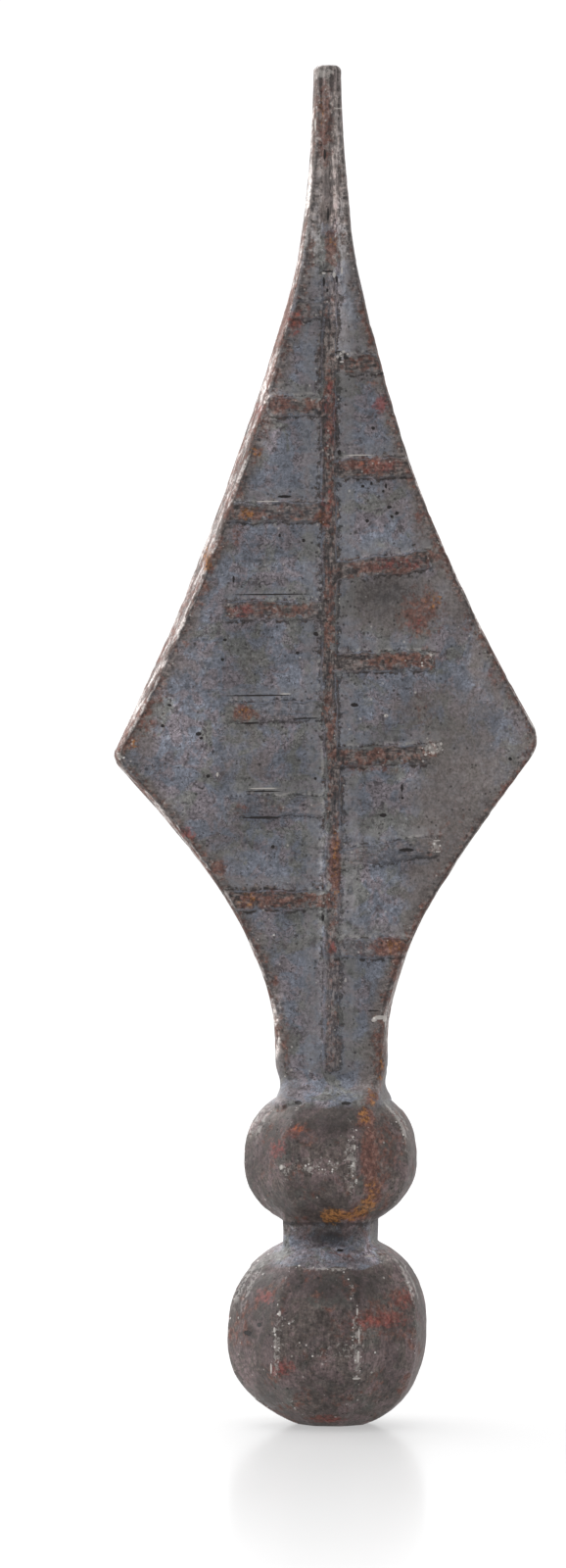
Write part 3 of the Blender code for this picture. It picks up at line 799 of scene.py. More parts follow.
def paintedShoulderGleams(points, normals, front):
    # Painted highlights that run round the knops' shoulders, just inside the outline
    seen, shift = seenAcross(points), knopShift(points[:, 2])
    fromAxis = np.abs(seen - shift) / np.maximum(np.hypot(points[:, 0] - shift, points[:, 1]), 1.0)
    gleam = fallOff(normals[:, 2], 0.6, 0.85) * ease((normals[:, 2] - 0.15) / 0.15)
    gleam = gleam * sum(fallOff(np.abs(fromAxis - line), marking["gleamFull"], marking["gleamGone"])
                        for line in marking["gleamLines"])
    return gleam * np.where(seen > 0.0, marking["gleamRight"], marking["gleamLeft"]) * (0.2 + 0.8 * front)


def paintedSideSheen(height, normals, fromRim):
    # A painted highlight, bright and streaky, on the faces that look sideways, narrower towards the tip
    slim = ease((height - marking["slimFrom"]) / marking["slimReach"])
    sideSheen = ease((np.abs(normals[:, 0]) - 0.45 - 0.3 * slim) / (0.3 - 0.15 * slim))
    sideSheen = sideSheen * fallOff(fromRim, 0.35 - 0.3 * slim, 0.8 - 0.5 * slim) * (1.0 + 0.4 * slim)
    return sideSheen * ease((height - marking["stripFrom"]) / marking["stripReach"])


def markFinial(finial):
    mesh, at = finial.data, marking
    points, normals = readPoints(mesh), readNormals(mesh)
    height, seen, front = points[:, 2], seenAcross(points), facingView(normals)
    across, depth, level = localPlace(points)
    onBlade = ease((height - at["bladeBottom"]) / 0.7)
    offBlade, hidden = 1.0 - onBlade, 1.0 - front
    widths = np.where(across < 0.0, edgeHalf(height, "left"), edgeHalf(height, "right"))
    fromRim = widths - np.abs(across)
    fromBar, overBar, barStain = ribDistances(across, level)
    toLow = ribs["veinStainLow"] - ribs["veinStain"]
    toTip = ribs["veinStainTip"] - ribs["veinStain"]
    veinStain = ribs["veinStain"] + toLow * ease((at["veinLow"] - height) / at["veinLowReach"])
    veinStain += toTip * ease((height - at["veinTip"]) / at["veinTipReach"])
    fromVein = np.abs(across) / veinHalves(widths)[1]
    fromVein += 6.0 * ease((ribs["veinBottom"] - height) / 2.0)
    flat = ease((np.abs(normals[:, 1]) - 0.6) / 0.3)
    broad = 0.5 + 0.5 * waves(points, 9.0, 3, 6.0)
    patchy = 0.5 + 0.5 * waves(points, 3.2, 3, 7.0)

    # On the hidden sides only the general rules apply: rust by patches, and on the knops
    rust = offBlade * (0.1 + 0.34 * ease((patchy - 0.5) / 0.3))
    rust = np.maximum(rust, hidden * onBlade * 0.75 * ease((patchy * broad - 0.36) / 0.14))
    rust = np.maximum(rust, gather(points, front, rustPlaces))
    # Painted shade lies in patches along the crease at the blade's foot, and a painted shadow runs round the
    # top of the neck under the small knop
    crease = np.exp(-((height - at["bladeBottom"]) / at["creaseShadeReach"]) ** 2)
    sootAndShade = np.maximum(gather(points, front, sootPlaces), 0.5 * crease * (0.4 + 0.6 * patchy))
    sootAndShade = np.maximum(sootAndShade, 0.85 * np.exp(-((height - at["shadowUnderKnop"]) / at["shadowUnderKnopReach"]) ** 2))

    # Worn corners of the knops, and a painted highlight along the up-facing corner lines of the right-hand
    # shoulders
    fromCorner = knopCorners(points)
    onKnop = offBlade * (np.abs(height - at["neckMiddle"]) > at["neckZone"])
    corners = 0.4 * onKnop * fallOff(fromCorner, 0.1, 0.6) * ease((patchy - 0.35) / 0.3)
    shoulderHighlight = onKnop * fallOff(fromCorner, 0.15, 0.55) * ease((normals[:, 2] - 0.1) / 0.25)
    pale = np.maximum(gather(points, front, palePlaces), corners)
    pale = np.maximum(pale, 0.95 * shoulderHighlight * ease((seen - 4.0) / 3.0))

    # Scale lies on the blade, round the top of the large knop, on the foot and on the neck
    collar = ease((height - at["collarBottom"] - 0.25 * np.sin(1.3 * seen)) / 0.35)
    collar = collar * fallOff(height, at["collarTop"], at["collarGone"])
    collar = collar * (0.35 + 0.65 * fallOff(np.abs(seen), 4.6, 7.5))
    collar = collar + 0.9 * np.exp(-((height - at["footBand"]) / at["footBandReach"]) ** 4)
    scale = np.maximum(onBlade, 0.85 * collar)
    scale = np.maximum(scale, 0.45 * fallOff(np.abs(height - at["neckScale"]), 1.4, 2.2))
    scale = scale * (1.0 - 0.9 * ease((height - at["bareTip"]) / at["bareTipReach"]))
    taupe = gather(points, front, [(a, h, 1.4 * w, 1.3 * t, s) for a, h, w, t, s in taupePlaces])
    taupe = np.maximum(taupe, onBlade * 0.75 * fallOff(fromRim, 0.8, 3.4) * (0.35 + 0.9 * patchy))
    taupe = np.maximum(taupe, hidden * onBlade * ease((broad - 0.5) / 0.2) * 0.7)
    sideSheen = onBlade * paintedSideSheen(height, normals, fromRim)

    masks = {
        "rustAmount": rust, "sootAndShadeAmount": sootAndShade, "paleAmount": pale, "scaleAmount": scale,
        "taupeAmount": taupe, "sideSheenAmount": sideSheen,
        "orangeAmount": gather(points, front, orangePlaces),
        "redAmount": gather(points, front, redPlaces),
        "toneAndHighlightAmount": gather(points, front, toneAndHighlightPlaces, add=True),
        "paintedGlintAmount": offBlade * paintedShoulderGleams(points, normals, front),
        "tipAmount": ease((height - at["darkTip"]) / at["darkTipReach"]),
        "faceAmount": onBlade * flat, "bladeAmount": onBlade * np.maximum(flat, sideSheen),
        "fromBar": fromBar, "overBar": overBar, "barInside": ribs["barReach"] - np.abs(across),
        "fromVein": fromVein, "veinSide": np.clip(across / 0.3, -1.0, 1.0), "fromRim": fromRim,
        "bladeDepth": depth, "barStain": barStain, "veinStain": veinStain,
    }
    for name, values in masks.items():
        made = mesh.attributes.new(name, "FLOAT", "POINT")
        made.data.foreach_set("value", np.clip(values, -30.0, 30.0).astype(np.float32))
    print("finish masks", ", ".join(masks))


markFinial(finialPiece)


# Wiring helpers for the materials

class Wiring:
    def __init__(self, tree):
        self.tree = tree

    def link(self, source, target):
        self.tree.links.new(source, target)

    def feed(self, socket, value):
        # Another node's output is linked, a number or a colour is set
        if isinstance(value, bpy.types.NodeSocket):
            self.link(value, socket)
        elif socket.type == "RGBA":
            socket.default_value = (*value, 1.0)
        else:
            socket.default_value = value

    def node(self, kind, inputs=(), **settings):
        node = self.tree.nodes.new(kind)
        for name, value in settings.items():
            setattr(node, name, value)
        for name, value in dict(inputs).items():
            self.feed(node.inputs[name], value)
        return node

    def use(self, group, inputs):
        return self.node("ShaderNodeGroup", inputs, node_tree=group, label=group.name).outputs

    def math(self, operation, *values):
        node = self.node("ShaderNodeMath", operation=operation)
        for socket, value in zip(node.inputs, values):
            self.feed(socket, value)
        return node.outputs[0]

    def plus(self, a, b):
        return self.math("ADD", a, b)

    def less(self, a, b):
        return self.math("SUBTRACT", a, b)

    def by(self, first, *others):
        for other in others:
            first = self.math("MULTIPLY", first, other)
        return first

    def most(self, first, *others):
        for other in others:
            first = self.math("MAXIMUM", first, other)
        return first

    def stretch(self, value, low, high, outLow=0.0, outHigh=1.0):
        inputs = {"Value": value, "From Min": low, "From Max": high, "To Min": outLow, "To Max": outHigh}
        return self.node("ShaderNodeMapRange", inputs, interpolation_type="SMOOTHSTEP").outputs["Result"]

    def blend(self, factor, first, second, mode="MIX"):
        node = self.node("ShaderNodeMix", data_type="RGBA", blend_type=mode)
        for index, value in ((0, factor), (6, first), (7, second)):
            self.feed(node.inputs[index], value)
        return node.outputs[2]

    def shade(self, color, factor):
        grey = self.node("ShaderNodeCombineColor", dict.fromkeys(("Red", "Green", "Blue"), factor))
        return self.blend(1.0, color, grey.outputs["Color"], "MULTIPLY")

    def mottled(self, color, grain, low, high, darkest, lightest):
        return self.shade(color, self.stretch(grain, low, high, darkest, lightest))

    def noise(self, place, size, detail=4.0, roughness=0.6, distortion=0.0):
        # size is the width of one blotch in millimetres, or a socket that gives the scale
        scale = 1.0 / (size * mm) if isinstance(size, float) else size
        inputs = {"Vector": place, "Scale": scale, "Detail": detail, "Roughness": roughness,
                  "Distortion": distortion}
        return self.node("ShaderNodeTexNoise", inputs).outputs["Fac"]

    def amount(self, name):
        return self.node("ShaderNodeAttribute", attribute_type="GEOMETRY", attribute_name=name).outputs["Fac"]


# Shader node groups, shared by the iron skin and the cut underside

def startGroup(name, inputs, outputs):
    # An input without a value is a place, the others are numbers
    group = bpy.data.node_groups.new(name, "ShaderNodeTree")
    for label, value in inputs.items():
        kind = "NodeSocketVector" if value is None else "NodeSocketFloat"
        socket = group.interface.new_socket(name=label, in_out="INPUT", socket_type=kind)
        if value is not None:
            socket.default_value = value
    for label in outputs:
        group.interface.new_socket(name=label, in_out="OUTPUT", socket_type="NodeSocketFloat")
    given = group.nodes.new("NodeGroupInput").outputs
    return group, Wiring(group), given, group.nodes.new("NodeGroupOutput").inputs


def makeGrainGroup():
    # Broad clouds, mottle and fine grain of the iron's skin
    group, w, given, out = startGroup(
        "ironGrain", {"Place": None, "Cloud Scale": 300.0, "Grain Scale": 4200.0},
        ("Cloud", "Mottle", "Grain", "Height"))
    cloud = w.noise(given["Place"], given["Cloud Scale"], 5.0, 0.62, 0.4)
    mottle = w.noise(given["Place"], w.by(given["Cloud Scale"], 4.5), 5.0, 0.7)
    grain = w.noise(given["Place"], given["Grain Scale"], 2.0, 0.6)
    height = w.plus(w.by(mottle, 0.7), w.by(grain, 0.3))
    for name, value in zip(("Cloud", "Mottle", "Grain", "Height"), (cloud, mottle, grain, height)):
        w.link(value, out[name])
    return group


def makeBloomGroup():
    # Turns a soft amount into a ragged patch, with a shade that varies inside it
    group, w, given, out = startGroup(
        "raggedBloom", {"Place": None, "Amount": 0.0, "Scale": 900.0, "Raggedness": 0.9, "Softness": 0.14},
        ("Mask", "Shade"))
    broad = w.noise(given["Place"], given["Scale"], 6.0, 0.72, 0.3)
    level = w.plus(given["Amount"], w.by(w.less(broad, 0.5), given["Raggedness"], 2.0))
    mask = w.stretch(level, w.less(0.5, given["Softness"]), w.plus(0.5, given["Softness"]))
    w.link(w.by(mask, w.stretch(given["Amount"], 0.02, 0.2)), out["Mask"])
    shade = w.noise(given["Place"], w.by(given["Scale"], 2.6), 4.0, 0.7)
    w.link(w.stretch(shade, 0.3, 0.7), out["Shade"])
    return group


def makeFleckGroup():
    # Small round flecks or pits, more of them where the amount is high
    group, w, given, out = startGroup(
        "fleckScatter", {"Place": None, "Scale": 1400.0, "Amount": 0.5, "Size": 0.32}, ("Mask",))
    cells = w.node("ShaderNodeTexVoronoi", voronoi_dimensions="3D", feature="F1",
                   inputs={"Vector": given["Place"], "Scale": given["Scale"], "Randomness": 1.0}).outputs
    draw = w.node("ShaderNodeSeparateColor", {"Color": cells["Color"]}).outputs
    chosen = w.math("LESS_THAN", draw["Red"], given["Amount"])
    radius = w.by(given["Size"], w.plus(w.by(draw["Green"], 0.8), 0.4))
    w.link(w.by(w.stretch(cells["Distance"], radius, w.by(radius, 0.45)), chosen), out["Mask"])
    return group


def makeSpotGroup():
    # One mark at a place, as seen across from the axis and up from the underside
    group, w, given, out = startGroup(
        "singleMark", {"Across": 0.0, "Up": 0.0, "Ragged": 0.5, "Mark Across": 0.0, "Mark Up": 0.0,
                       "Half Width": 1.0, "Half Height": 1.0}, ("Mask",))
    wide = w.math("DIVIDE", w.less(given["Across"], given["Mark Across"]), given["Half Width"])
    tall = w.math("DIVIDE", w.less(given["Up"], given["Mark Up"]), given["Half Height"])
    reach = w.plus(w.plus(w.by(wide, wide), w.by(tall, tall)), w.by(w.less(given["Ragged"], 0.5), 1.6))
    w.link(w.stretch(reach, 1.4, 0.8), out["Mask"])
    return group


ribInputs = {"From Bar": 9.0, "Over Bar": 0.0, "Bar Inside": 0.0, "From Vein": 9.0, "Vein Side": 0.0,
             "Bar Stain": 1.0, "Vein Stain": 1.0}


def makeRibGroup():
    # Ragged zones of the raised vein and bars, from the distances kept on the mesh
    group, w, given, out = startGroup("ribZones", {**ribInputs, "Ragged": 0.5, "Broken": 0.5},
                                      ("Body", "Halo", "Frame", "Highlight Line", "Shade Line"))
    swing = w.by(w.plus(given["Ragged"], -0.5), 2.0)
    drift = w.plus(given["Broken"], -0.5)
    fromBar = w.plus(w.plus(given["From Bar"], w.by(swing, 2.2)), w.by(drift, 3.0))
    fromVein = w.plus(w.plus(given["From Vein"], w.by(swing, 2.0)), w.by(drift, 2.6))
    inside = w.stretch(w.plus(given["Bar Inside"], w.by(swing, 1.4)), -0.3, 0.3)
    veinStain = given["Vein Stain"]

    def zone(name, barOut, barIn, veinOut, veinIn):
        bars = w.by(w.stretch(fromBar, barOut, barIn), inside, given["Bar Stain"])
        w.link(w.most(bars, w.by(w.stretch(fromVein, veinOut, veinIn), veinStain)), out[name])

    def band(name, middle, half, wander):
        off = w.math("ABSOLUTE", w.plus(w.plus(given[name], w.by(swing, wander)), -middle))
        return w.stretch(off, half, half * 0.4)

    zone("Body", 1.4, 0.85, 1.2, 0.5)
    zone("Halo", 3.1, 1.0, 2.7, 0.9)
    above, below = [w.stretch(given["Over Bar"], 0.2 * sign, 0.6 * sign) for sign in (1.0, -1.0)]
    veinRight, veinLeft = [w.stretch(given["Vein Side"], 0.3 * sign, 0.8 * sign) for sign in (1.0, -1.0)]
    # Painted light: a lighter band on the panel just above each bar and beside the vein
    frame = w.most(w.by(band("From Bar", 2.1, 1.0, 0.8), above, inside), band("From Vein", 2.1, 1.3, 0.9))
    w.link(frame, out["Frame"])
    broken = w.stretch(w.plus(w.by(given["Ragged"], 0.7), w.by(given["Broken"], 0.3)), 0.49, 0.58)
    # Painted highlight: a pale line just above each bar and along the vein's left side
    pale = w.most(w.by(band("From Bar", 1.45, 0.22, 0.6), above, inside),
                  w.by(band("From Vein", 1.2, 0.24, 0.6), veinLeft, veinStain))
    w.link(w.by(pale, broken), out["Highlight Line"])
    # Painted shade: a dark line along the foot of each bar, strongest under it, and along both sides of the
    # vein, strongest on its right
    dark = w.most(w.by(band("From Bar", 1.2, 0.28, 0.9), below, inside),
                  w.by(band("From Bar", 1.05, 0.2, 0.8), above, inside, 0.9),
                  w.by(band("From Vein", 1.0, 0.34, 1.7), veinRight, veinStain, 0.85),
                  w.by(band("From Vein", 0.8, 0.32, 1.6), veinLeft, veinStain, 0.75))
    w.link(w.by(dark, w.plus(w.by(broken, -0.75), 1.0)), out["Shade Line"])
    return group


grainGroup = makeGrainGroup()
bloomGroup = makeBloomGroup()
fleckGroup = makeFleckGroup()
spotGroup = makeSpotGroup()
ribGroup = makeRibGroup()

# Colours of the iron's skin and of the painted light and shade on it, and how much of each layer covers what
# lies under it

skin = {
    "blueScale": (0.146, 0.158, 0.19), "mauveScale": (0.178, 0.158, 0.174),
    "oliveScale": (0.142, 0.142, 0.132), "paleScale": (0.24, 0.24, 0.26),
    "litBandScale": (0.195, 0.19, 0.195), "darkScale": (0.05, 0.044, 0.048),
    "brownSkin": (0.118, 0.095, 0.086), "brownSkinDeep": (0.046, 0.036, 0.033),
    "greySkin": (0.078, 0.08, 0.072), "plumSkin": (0.13, 0.093, 0.094),
    "taupe": (0.176, 0.156, 0.15), "taupeDeep": (0.112, 0.095, 0.088),
    "ribSkin": (0.14, 0.12, 0.11), "ribSkinDeep": (0.04, 0.033, 0.031),
    "rust": (0.2, 0.086, 0.066), "rustDeep": (0.085, 0.041, 0.032), "rustLight": (0.285, 0.152, 0.12),
    "orange": (0.46, 0.21, 0.05), "orangeDeep": (0.17, 0.062, 0.024), "red": (0.24, 0.055, 0.05),
    "sideSheen": (0.53, 0.485, 0.465), "sideSheenDeep": (0.09, 0.068, 0.06),
    "sootAndShade": (0.02, 0.017, 0.017), "bareIronAndHighlight": (0.5, 0.47, 0.44), "gleam": (0.66, 0.63, 0.6),
}

cover = {
    "taupe": 0.85, "ribs": 0.9, "rim": 0.75, "sideSheen": 0.9, "rust": 0.8, "orange": 0.75, "red": 0.55,
    "pits": 0.7, "specks": 0.65, "sootAndShade": 0.55, "darkLine": 0.75,
    "flecks": 0.5, "wornPatch": 0.42, "paleLine": 0.26, "lightMarks": 0.8,
    "blackGrains": 0.8, "brightGrains": 0.85, "gleam": 0.8,
    "toneStep": 1.75,       # lighter by this factor for a tone of 1
    "gloss": 0.3, "metal": 0.2, "roughLow": 0.5, "roughHigh": 0.68, "coveredRough": 0.25,
    "bump": 0.6, "bumpDepth": 0.12,
}

# Single marks on the front: seen across, height, half width, half height

tinyMarks = {
    "dark": [
        (-5.0, 109.45, 0.78, 0.16), (3.2, 84.9, 0.48, 0.22), (8.8, 75.1, 0.16, 0.42),
        (8.85, 73.9, 0.16, 0.15), (6.6, 71.9, 0.42, 0.22), (21.6, 78.3, 0.22, 0.2),
        (-15.1, 81.7, 0.35, 0.22), (-14.8, 81.2, 0.2, 0.16), (-18.5, 85.1, 0.22, 0.16),
        (-19.3, 82.7, 0.2, 0.2), (-14.0, 76.7, 0.22, 0.2), (-6.4, 68.3, 0.2, 0.2),
        (-0.5, 59.9, 0.16, 0.4), (-1.4, 76.3, 0.16, 0.16), (-1.3, 93.3, 0.3, 0.24),
        (-3.5, 91.1, 0.22, 0.18), (-12.3, 90.4, 0.2, 0.18), (-12.0, 92.7, 0.18, 0.16),
        (-11.0, 99.8, 0.14, 0.4), (1.4, 114.6, 0.2, 0.3), (7.3, 108.1, 0.26, 0.2),
        (8.2, 107.4, 0.22, 0.2), (7.6, 107.0, 0.2, 0.16), (4.7, 106.5, 0.2, 0.2),
        (4.2, 110.6, 0.2, 0.16), (5.2, 110.9, 0.16, 0.2), (6.6, 110.0, 0.16, 0.16),
        (6.9, 110.6, 0.14, 0.3), (1.3, 126.3, 0.4, 0.2), (2.2, 125.7, 0.3, 0.2), (-3.4, 38.3, 0.42, 0.2),
        (2.2, 38.3, 0.6, 0.18), (-8.1, 86.15, 3.5, 0.09), (-9.2, 82.9, 1.0, 0.12),
        (-2.6, 83.4, 1.5, 0.09), (-7.6, 74.85, 2.0, 0.09), (-7.6, 71.75, 2.2, 0.14),
        (9.4, 67.85, 0.85, 0.2), (11.6, 109.9, 0.4, 0.16), (-6.6, 98.0, 4.2, 0.08),
        (1.5, 21.0, 0.4, 0.14), (5.4, 49.0, 0.6, 0.1), (-2.8, 104.3, 0.2, 0.2), (-9.3, 11.3, 0.5, 0.3),
        (-8.0, 12.4, 0.25, 0.25), (0.1, 135.8, 0.6, 0.1), (1.1, 134.9, 0.12, 0.4),
        (-0.4, 134.6, 0.14, 0.5), (0.0, 133.6, 0.14, 0.2), (0.1, 142.5, 0.12, 0.8),
        (-0.3, 149.5, 0.14, 0.6), (1.5, 125.6, 0.16, 0.3), (2.0, 125.9, 0.12, 0.3),
        (6.4, 123.8, 0.2, 0.2), (5.4, 117.4, 0.2, 0.2), (-5.6, 104.9, 0.16, 0.2),
    ],
    # Light marks are partly worn bare iron and partly painted highlights, such as the rim of the dent at 48
    # mm
    "light": [
        (6.2, 48.2, 0.75, 0.22), (5.5, 47.9, 0.3, 0.2), (6.8, 47.9, 0.25, 0.25),
        (-12.9, 76.9, 0.13, 0.24), (-4.9, 86.3, 0.6, 0.08), (12.2, 90.7, 0.16, 0.16),
        (6.9, 83.6, 0.26, 0.16), (10.2, 57.3, 0.14, 0.2), (1.9, 126.4, 0.2, 0.14),
        (1.2, 125.8, 0.16, 0.16), (2.4, 126.1, 0.16, 0.12), (1.7, 125.2, 0.22, 0.1),
        (-5.4, 31.0, 0.16, 0.24), (-2.0, 31.0, 0.14, 0.12), (3.2, 33.4, 0.12, 0.3),
        (3.1, 31.4, 0.14, 0.3), (3.4, 29.4, 0.14, 0.3), (3.0, 34.6, 0.12, 0.12), (-5.6, 13.9, 0.14, 0.3),
        (-6.2, 12.0, 0.12, 0.3), (-6.6, 7.4, 0.1, 0.6), (3.5, 14.2, 0.1, 0.4), (3.7, 11.4, 0.1, 0.9),
        (3.6, 8.9, 0.14, 0.7), (3.4, 6.3, 0.5, 0.12), (12.1, 79.8, 0.16, 0.16), (12.5, 79.2, 0.2, 0.14),
        (13.4, 80.2, 0.14, 0.16), (11.6, 79.0, 0.16, 0.14), (3.8, 114.25, 1.5, 0.07),
        (12.9, 68.9, 0.4, 0.08), (12.9, 67.6, 0.4, 0.08), (-7.0, 108.9, 1.3, 0.07),
        (-7.5, 75.2, 1.6, 0.08), (5.0, 20.3, 0.5, 0.1), (-1.4, 153.0, 0.1, 0.7),
        (-0.4, 135.6, 0.2, 0.12), (0.8, 135.4, 0.16, 0.3), (1.7, 135.9, 0.12, 0.4),
        (1.4, 154.9, 0.5, 0.06),
    ],
}


def startMaterial(name):
    material = bpy.data.materials.new(name)
    material.use_nodes = True
    return material, Wiring(material.node_tree), material.node_tree.nodes["Principled BSDF"].inputs


def bloomAt(w, place, amount, scale, raggedness=0.9, softness=0.14):
    return w.use(bloomGroup, {"Place": place, "Amount": amount, "Scale": scale,
                              "Raggedness": raggedness, "Softness": softness})


def flecksAt(w, place, amount, scale, size):
    return w.use(fleckGroup, {"Place": place, "Amount": amount, "Scale": scale, "Size": size})["Mask"]


def skinNoises(w):
    # The noises and places that all layers of the skin share
    look = SimpleNamespace()
    look.place = w.node("ShaderNodeTexCoord").outputs["Object"]
    grain = w.use(grainGroup, {"Place": look.place, "Cloud Scale": 260.0, "Grain Scale": 3300.0})
    look.cloud, look.mottle = grain["Cloud"], grain["Mottle"]
    look.fine, look.height = grain["Grain"], grain["Height"]

    def drawnOut(scales):   # like scraped or drawn iron
        drawn = w.node("ShaderNodeMapping", {"Vector": look.place, "Scale": scales}).outputs["Vector"]
        return w.noise(drawn, 0.42, 3.0, 0.68, 0.6)

    look.upStreak, look.sideStreak = drawnOut((1.0, 1.0, 0.2)), drawnOut((0.2, 1.0, 1.0))
    look.speckle = w.noise(look.place, 0.5, 2.0, 0.6, 0.4)
    look.broadCloud = w.noise(look.place, 5.5, 2.0, 0.5, 0.6)
    look.hue = w.noise(look.place, 2.4, 4.0, 0.65, 0.8)
    ridge = w.math("ABSOLUTE", w.less(w.noise(look.place, 1.1, 3.0, 0.6, 1.2), 0.5))
    look.cracks = w.by(w.stretch(ridge, 0.045, 0.015), w.stretch(look.mottle, 0.47, 0.56))
    look.onBlade, look.onFace = w.amount("bladeAmount"), w.amount("faceAmount")
    look.axes = w.node("ShaderNodeSeparateXYZ", {"Vector": look.place}).outputs
    look.across = w.less(w.by(look.axes["X"], math.cos(whole["viewTurn"]) / mm),
                         w.by(look.axes["Y"], math.sin(whole["viewTurn"]) / mm))
    look.up = w.by(look.axes["Z"], 1.0 / mm)
    look.inFront = w.math("LESS_THAN", look.axes["Y"], 0.2 * mm)
    return look


def addGround(w, look):
    # Blue-grey scale on the blade, brown skin on the knops, brown-grey where the scale has worn
    blue = w.blend(w.stretch(look.hue, 0.46, 0.56), skin["blueScale"], skin["mauveScale"])
    blue = w.blend(w.stretch(look.cloud, 0.5, 0.6, 0.0, 0.9), blue, skin["oliveScale"])
    blue = w.blend(w.stretch(look.mottle, 0.58, 0.78, 0.0, 0.6), blue, skin["paleScale"])
    blue = w.mottled(blue, look.mottle, 0.3, 0.56, 0.52, 1.06)
    blue = w.mottled(blue, look.sideStreak, 0.32, 0.68, 0.88, 1.13)
    blue = w.mottled(blue, look.speckle, 0.36, 0.64, 0.92, 1.09)
    blue = w.mottled(blue, look.broadCloud, 0.36, 0.64, 0.84, 1.2)
    smudge = w.by(w.stretch(w.noise(look.place, 0.6, 1.5, 0.5, 1.2), 0.54, 0.64),
                  w.stretch(look.hue, 0.42, 0.6, 0.2, 1.0))
    blue = w.blend(w.most(w.by(smudge, 0.8), w.by(look.cracks, 0.75)), blue, skin["darkScale"])
    brown = w.blend(w.stretch(look.mottle, 0.32, 0.68), skin["brownSkinDeep"], skin["brownSkin"])
    brown = w.blend(w.stretch(look.hue, 0.47, 0.57, 0.0, 0.75), brown, skin["plumSkin"])
    brown = w.mottled(brown, look.upStreak, 0.3, 0.7, 0.74, 1.26)
    brown = w.blend(w.stretch(look.cloud, 0.5, 0.7, 0.0, 0.7), brown, skin["greySkin"])
    brown = w.mottled(brown, look.speckle, 0.38, 0.62, 0.86, 1.2)
    brown = w.mottled(brown, look.broadCloud, 0.38, 0.62, 0.8, 1.2)
    brown = w.blend(w.by(look.cracks, 0.5), brown, skin["darkScale"])
    scaleLevel = w.plus(w.amount("scaleAmount"), w.by(w.less(look.mottle, 0.5), 0.9))
    color = w.blend(w.stretch(scaleLevel, 0.3, 0.7), brown, blue)
    worn = bloomAt(w, look.place, w.amount("taupeAmount"), 420.0, 0.7, 0.35)
    taupe = w.blend(worn["Shade"], skin["taupeDeep"], skin["taupe"])
    color = w.blend(w.by(worn["Mask"], cover["taupe"]), color, taupe)
    return w.mottled(color, look.fine, 0.25, 0.75, 0.76, 1.27)


def addRibs(w, look, color):
    # Vein and bars are browner and darker, and a painted band of light makes the panels a little lighter
    # above each bar and beside the vein
    zones = w.use(ribGroup, {**{label: w.amount(label[0].lower() + label[1:].replace(" ", ""))
                                for label in ribInputs}, "Ragged": look.mottle, "Broken": look.cloud})
    look.body, look.halo, frame, look.paleLine, look.darkLine = [
        w.by(zones[name], look.onFace) for name in ("Body", "Halo", "Frame", "Highlight Line", "Shade Line")]
    color = w.blend(w.by(frame, w.stretch(look.mottle, 0.4, 0.6, 0.15, 0.55)), color, skin["litBandScale"])
    nearVein = w.stretch(w.amount("fromVein"), 1.5, 1.0)
    look.ribStreak = w.plus(w.by(look.upStreak, nearVein), w.by(look.sideStreak, w.less(1.0, nearVein)))
    ribColor = w.blend(w.stretch(look.ribStreak, 0.38, 0.62), skin["ribSkinDeep"], skin["ribSkin"])
    ribColor = w.mottled(ribColor, look.speckle, 0.36, 0.64, 0.45, 1.75)
    color = w.blend(w.by(look.body, cover["ribs"]), color, ribColor)
    # The same brown speckles the blade's rim
    look.rim = w.amount("fromRim")
    rimRagged = w.plus(look.rim, w.by(w.less(look.mottle, 0.5), 3.6))
    look.rimZone = w.by(w.stretch(rimRagged, 2.3, 0.3), look.onBlade)
    return w.blend(w.by(look.rimZone, cover["rim"]), color, ribColor)


def addSideSheenAndTone(w, look, color):
    # A painted highlight of pale streaks runs along the blade's narrow sides
    along = w.node("ShaderNodeCombineXYZ", {"X": w.by(w.amount("bladeDepth"), 0.22),
                                            "Z": w.by(look.axes["Z"], 0.06 / mm)}).outputs["Vector"]
    streak = w.node("ShaderNodeTexNoise", {"Vector": along, "Scale": 3.6, "Detail": 4.0, "Roughness": 0.7,
                                           "Distortion": 0.5}).outputs["Fac"]
    sideSheen = w.blend(w.stretch(streak, 0.45, 0.56), skin["sideSheenDeep"], skin["sideSheen"])
    sideSheen = w.mottled(sideSheen, look.fine, 0.25, 0.75, 0.45, 1.4)
    color = w.blend(w.by(w.stretch(w.amount("sideSheenAmount"), 0.2, 0.7), cover["sideSheen"]), color, sideSheen)
    tone = w.by(w.amount("toneAndHighlightAmount"), w.stretch(w.plus(look.mottle, look.upStreak), 0.8, 1.2, 0.5, 1.5))
    return w.shade(color, w.math("POWER", cover["toneStep"], tone))


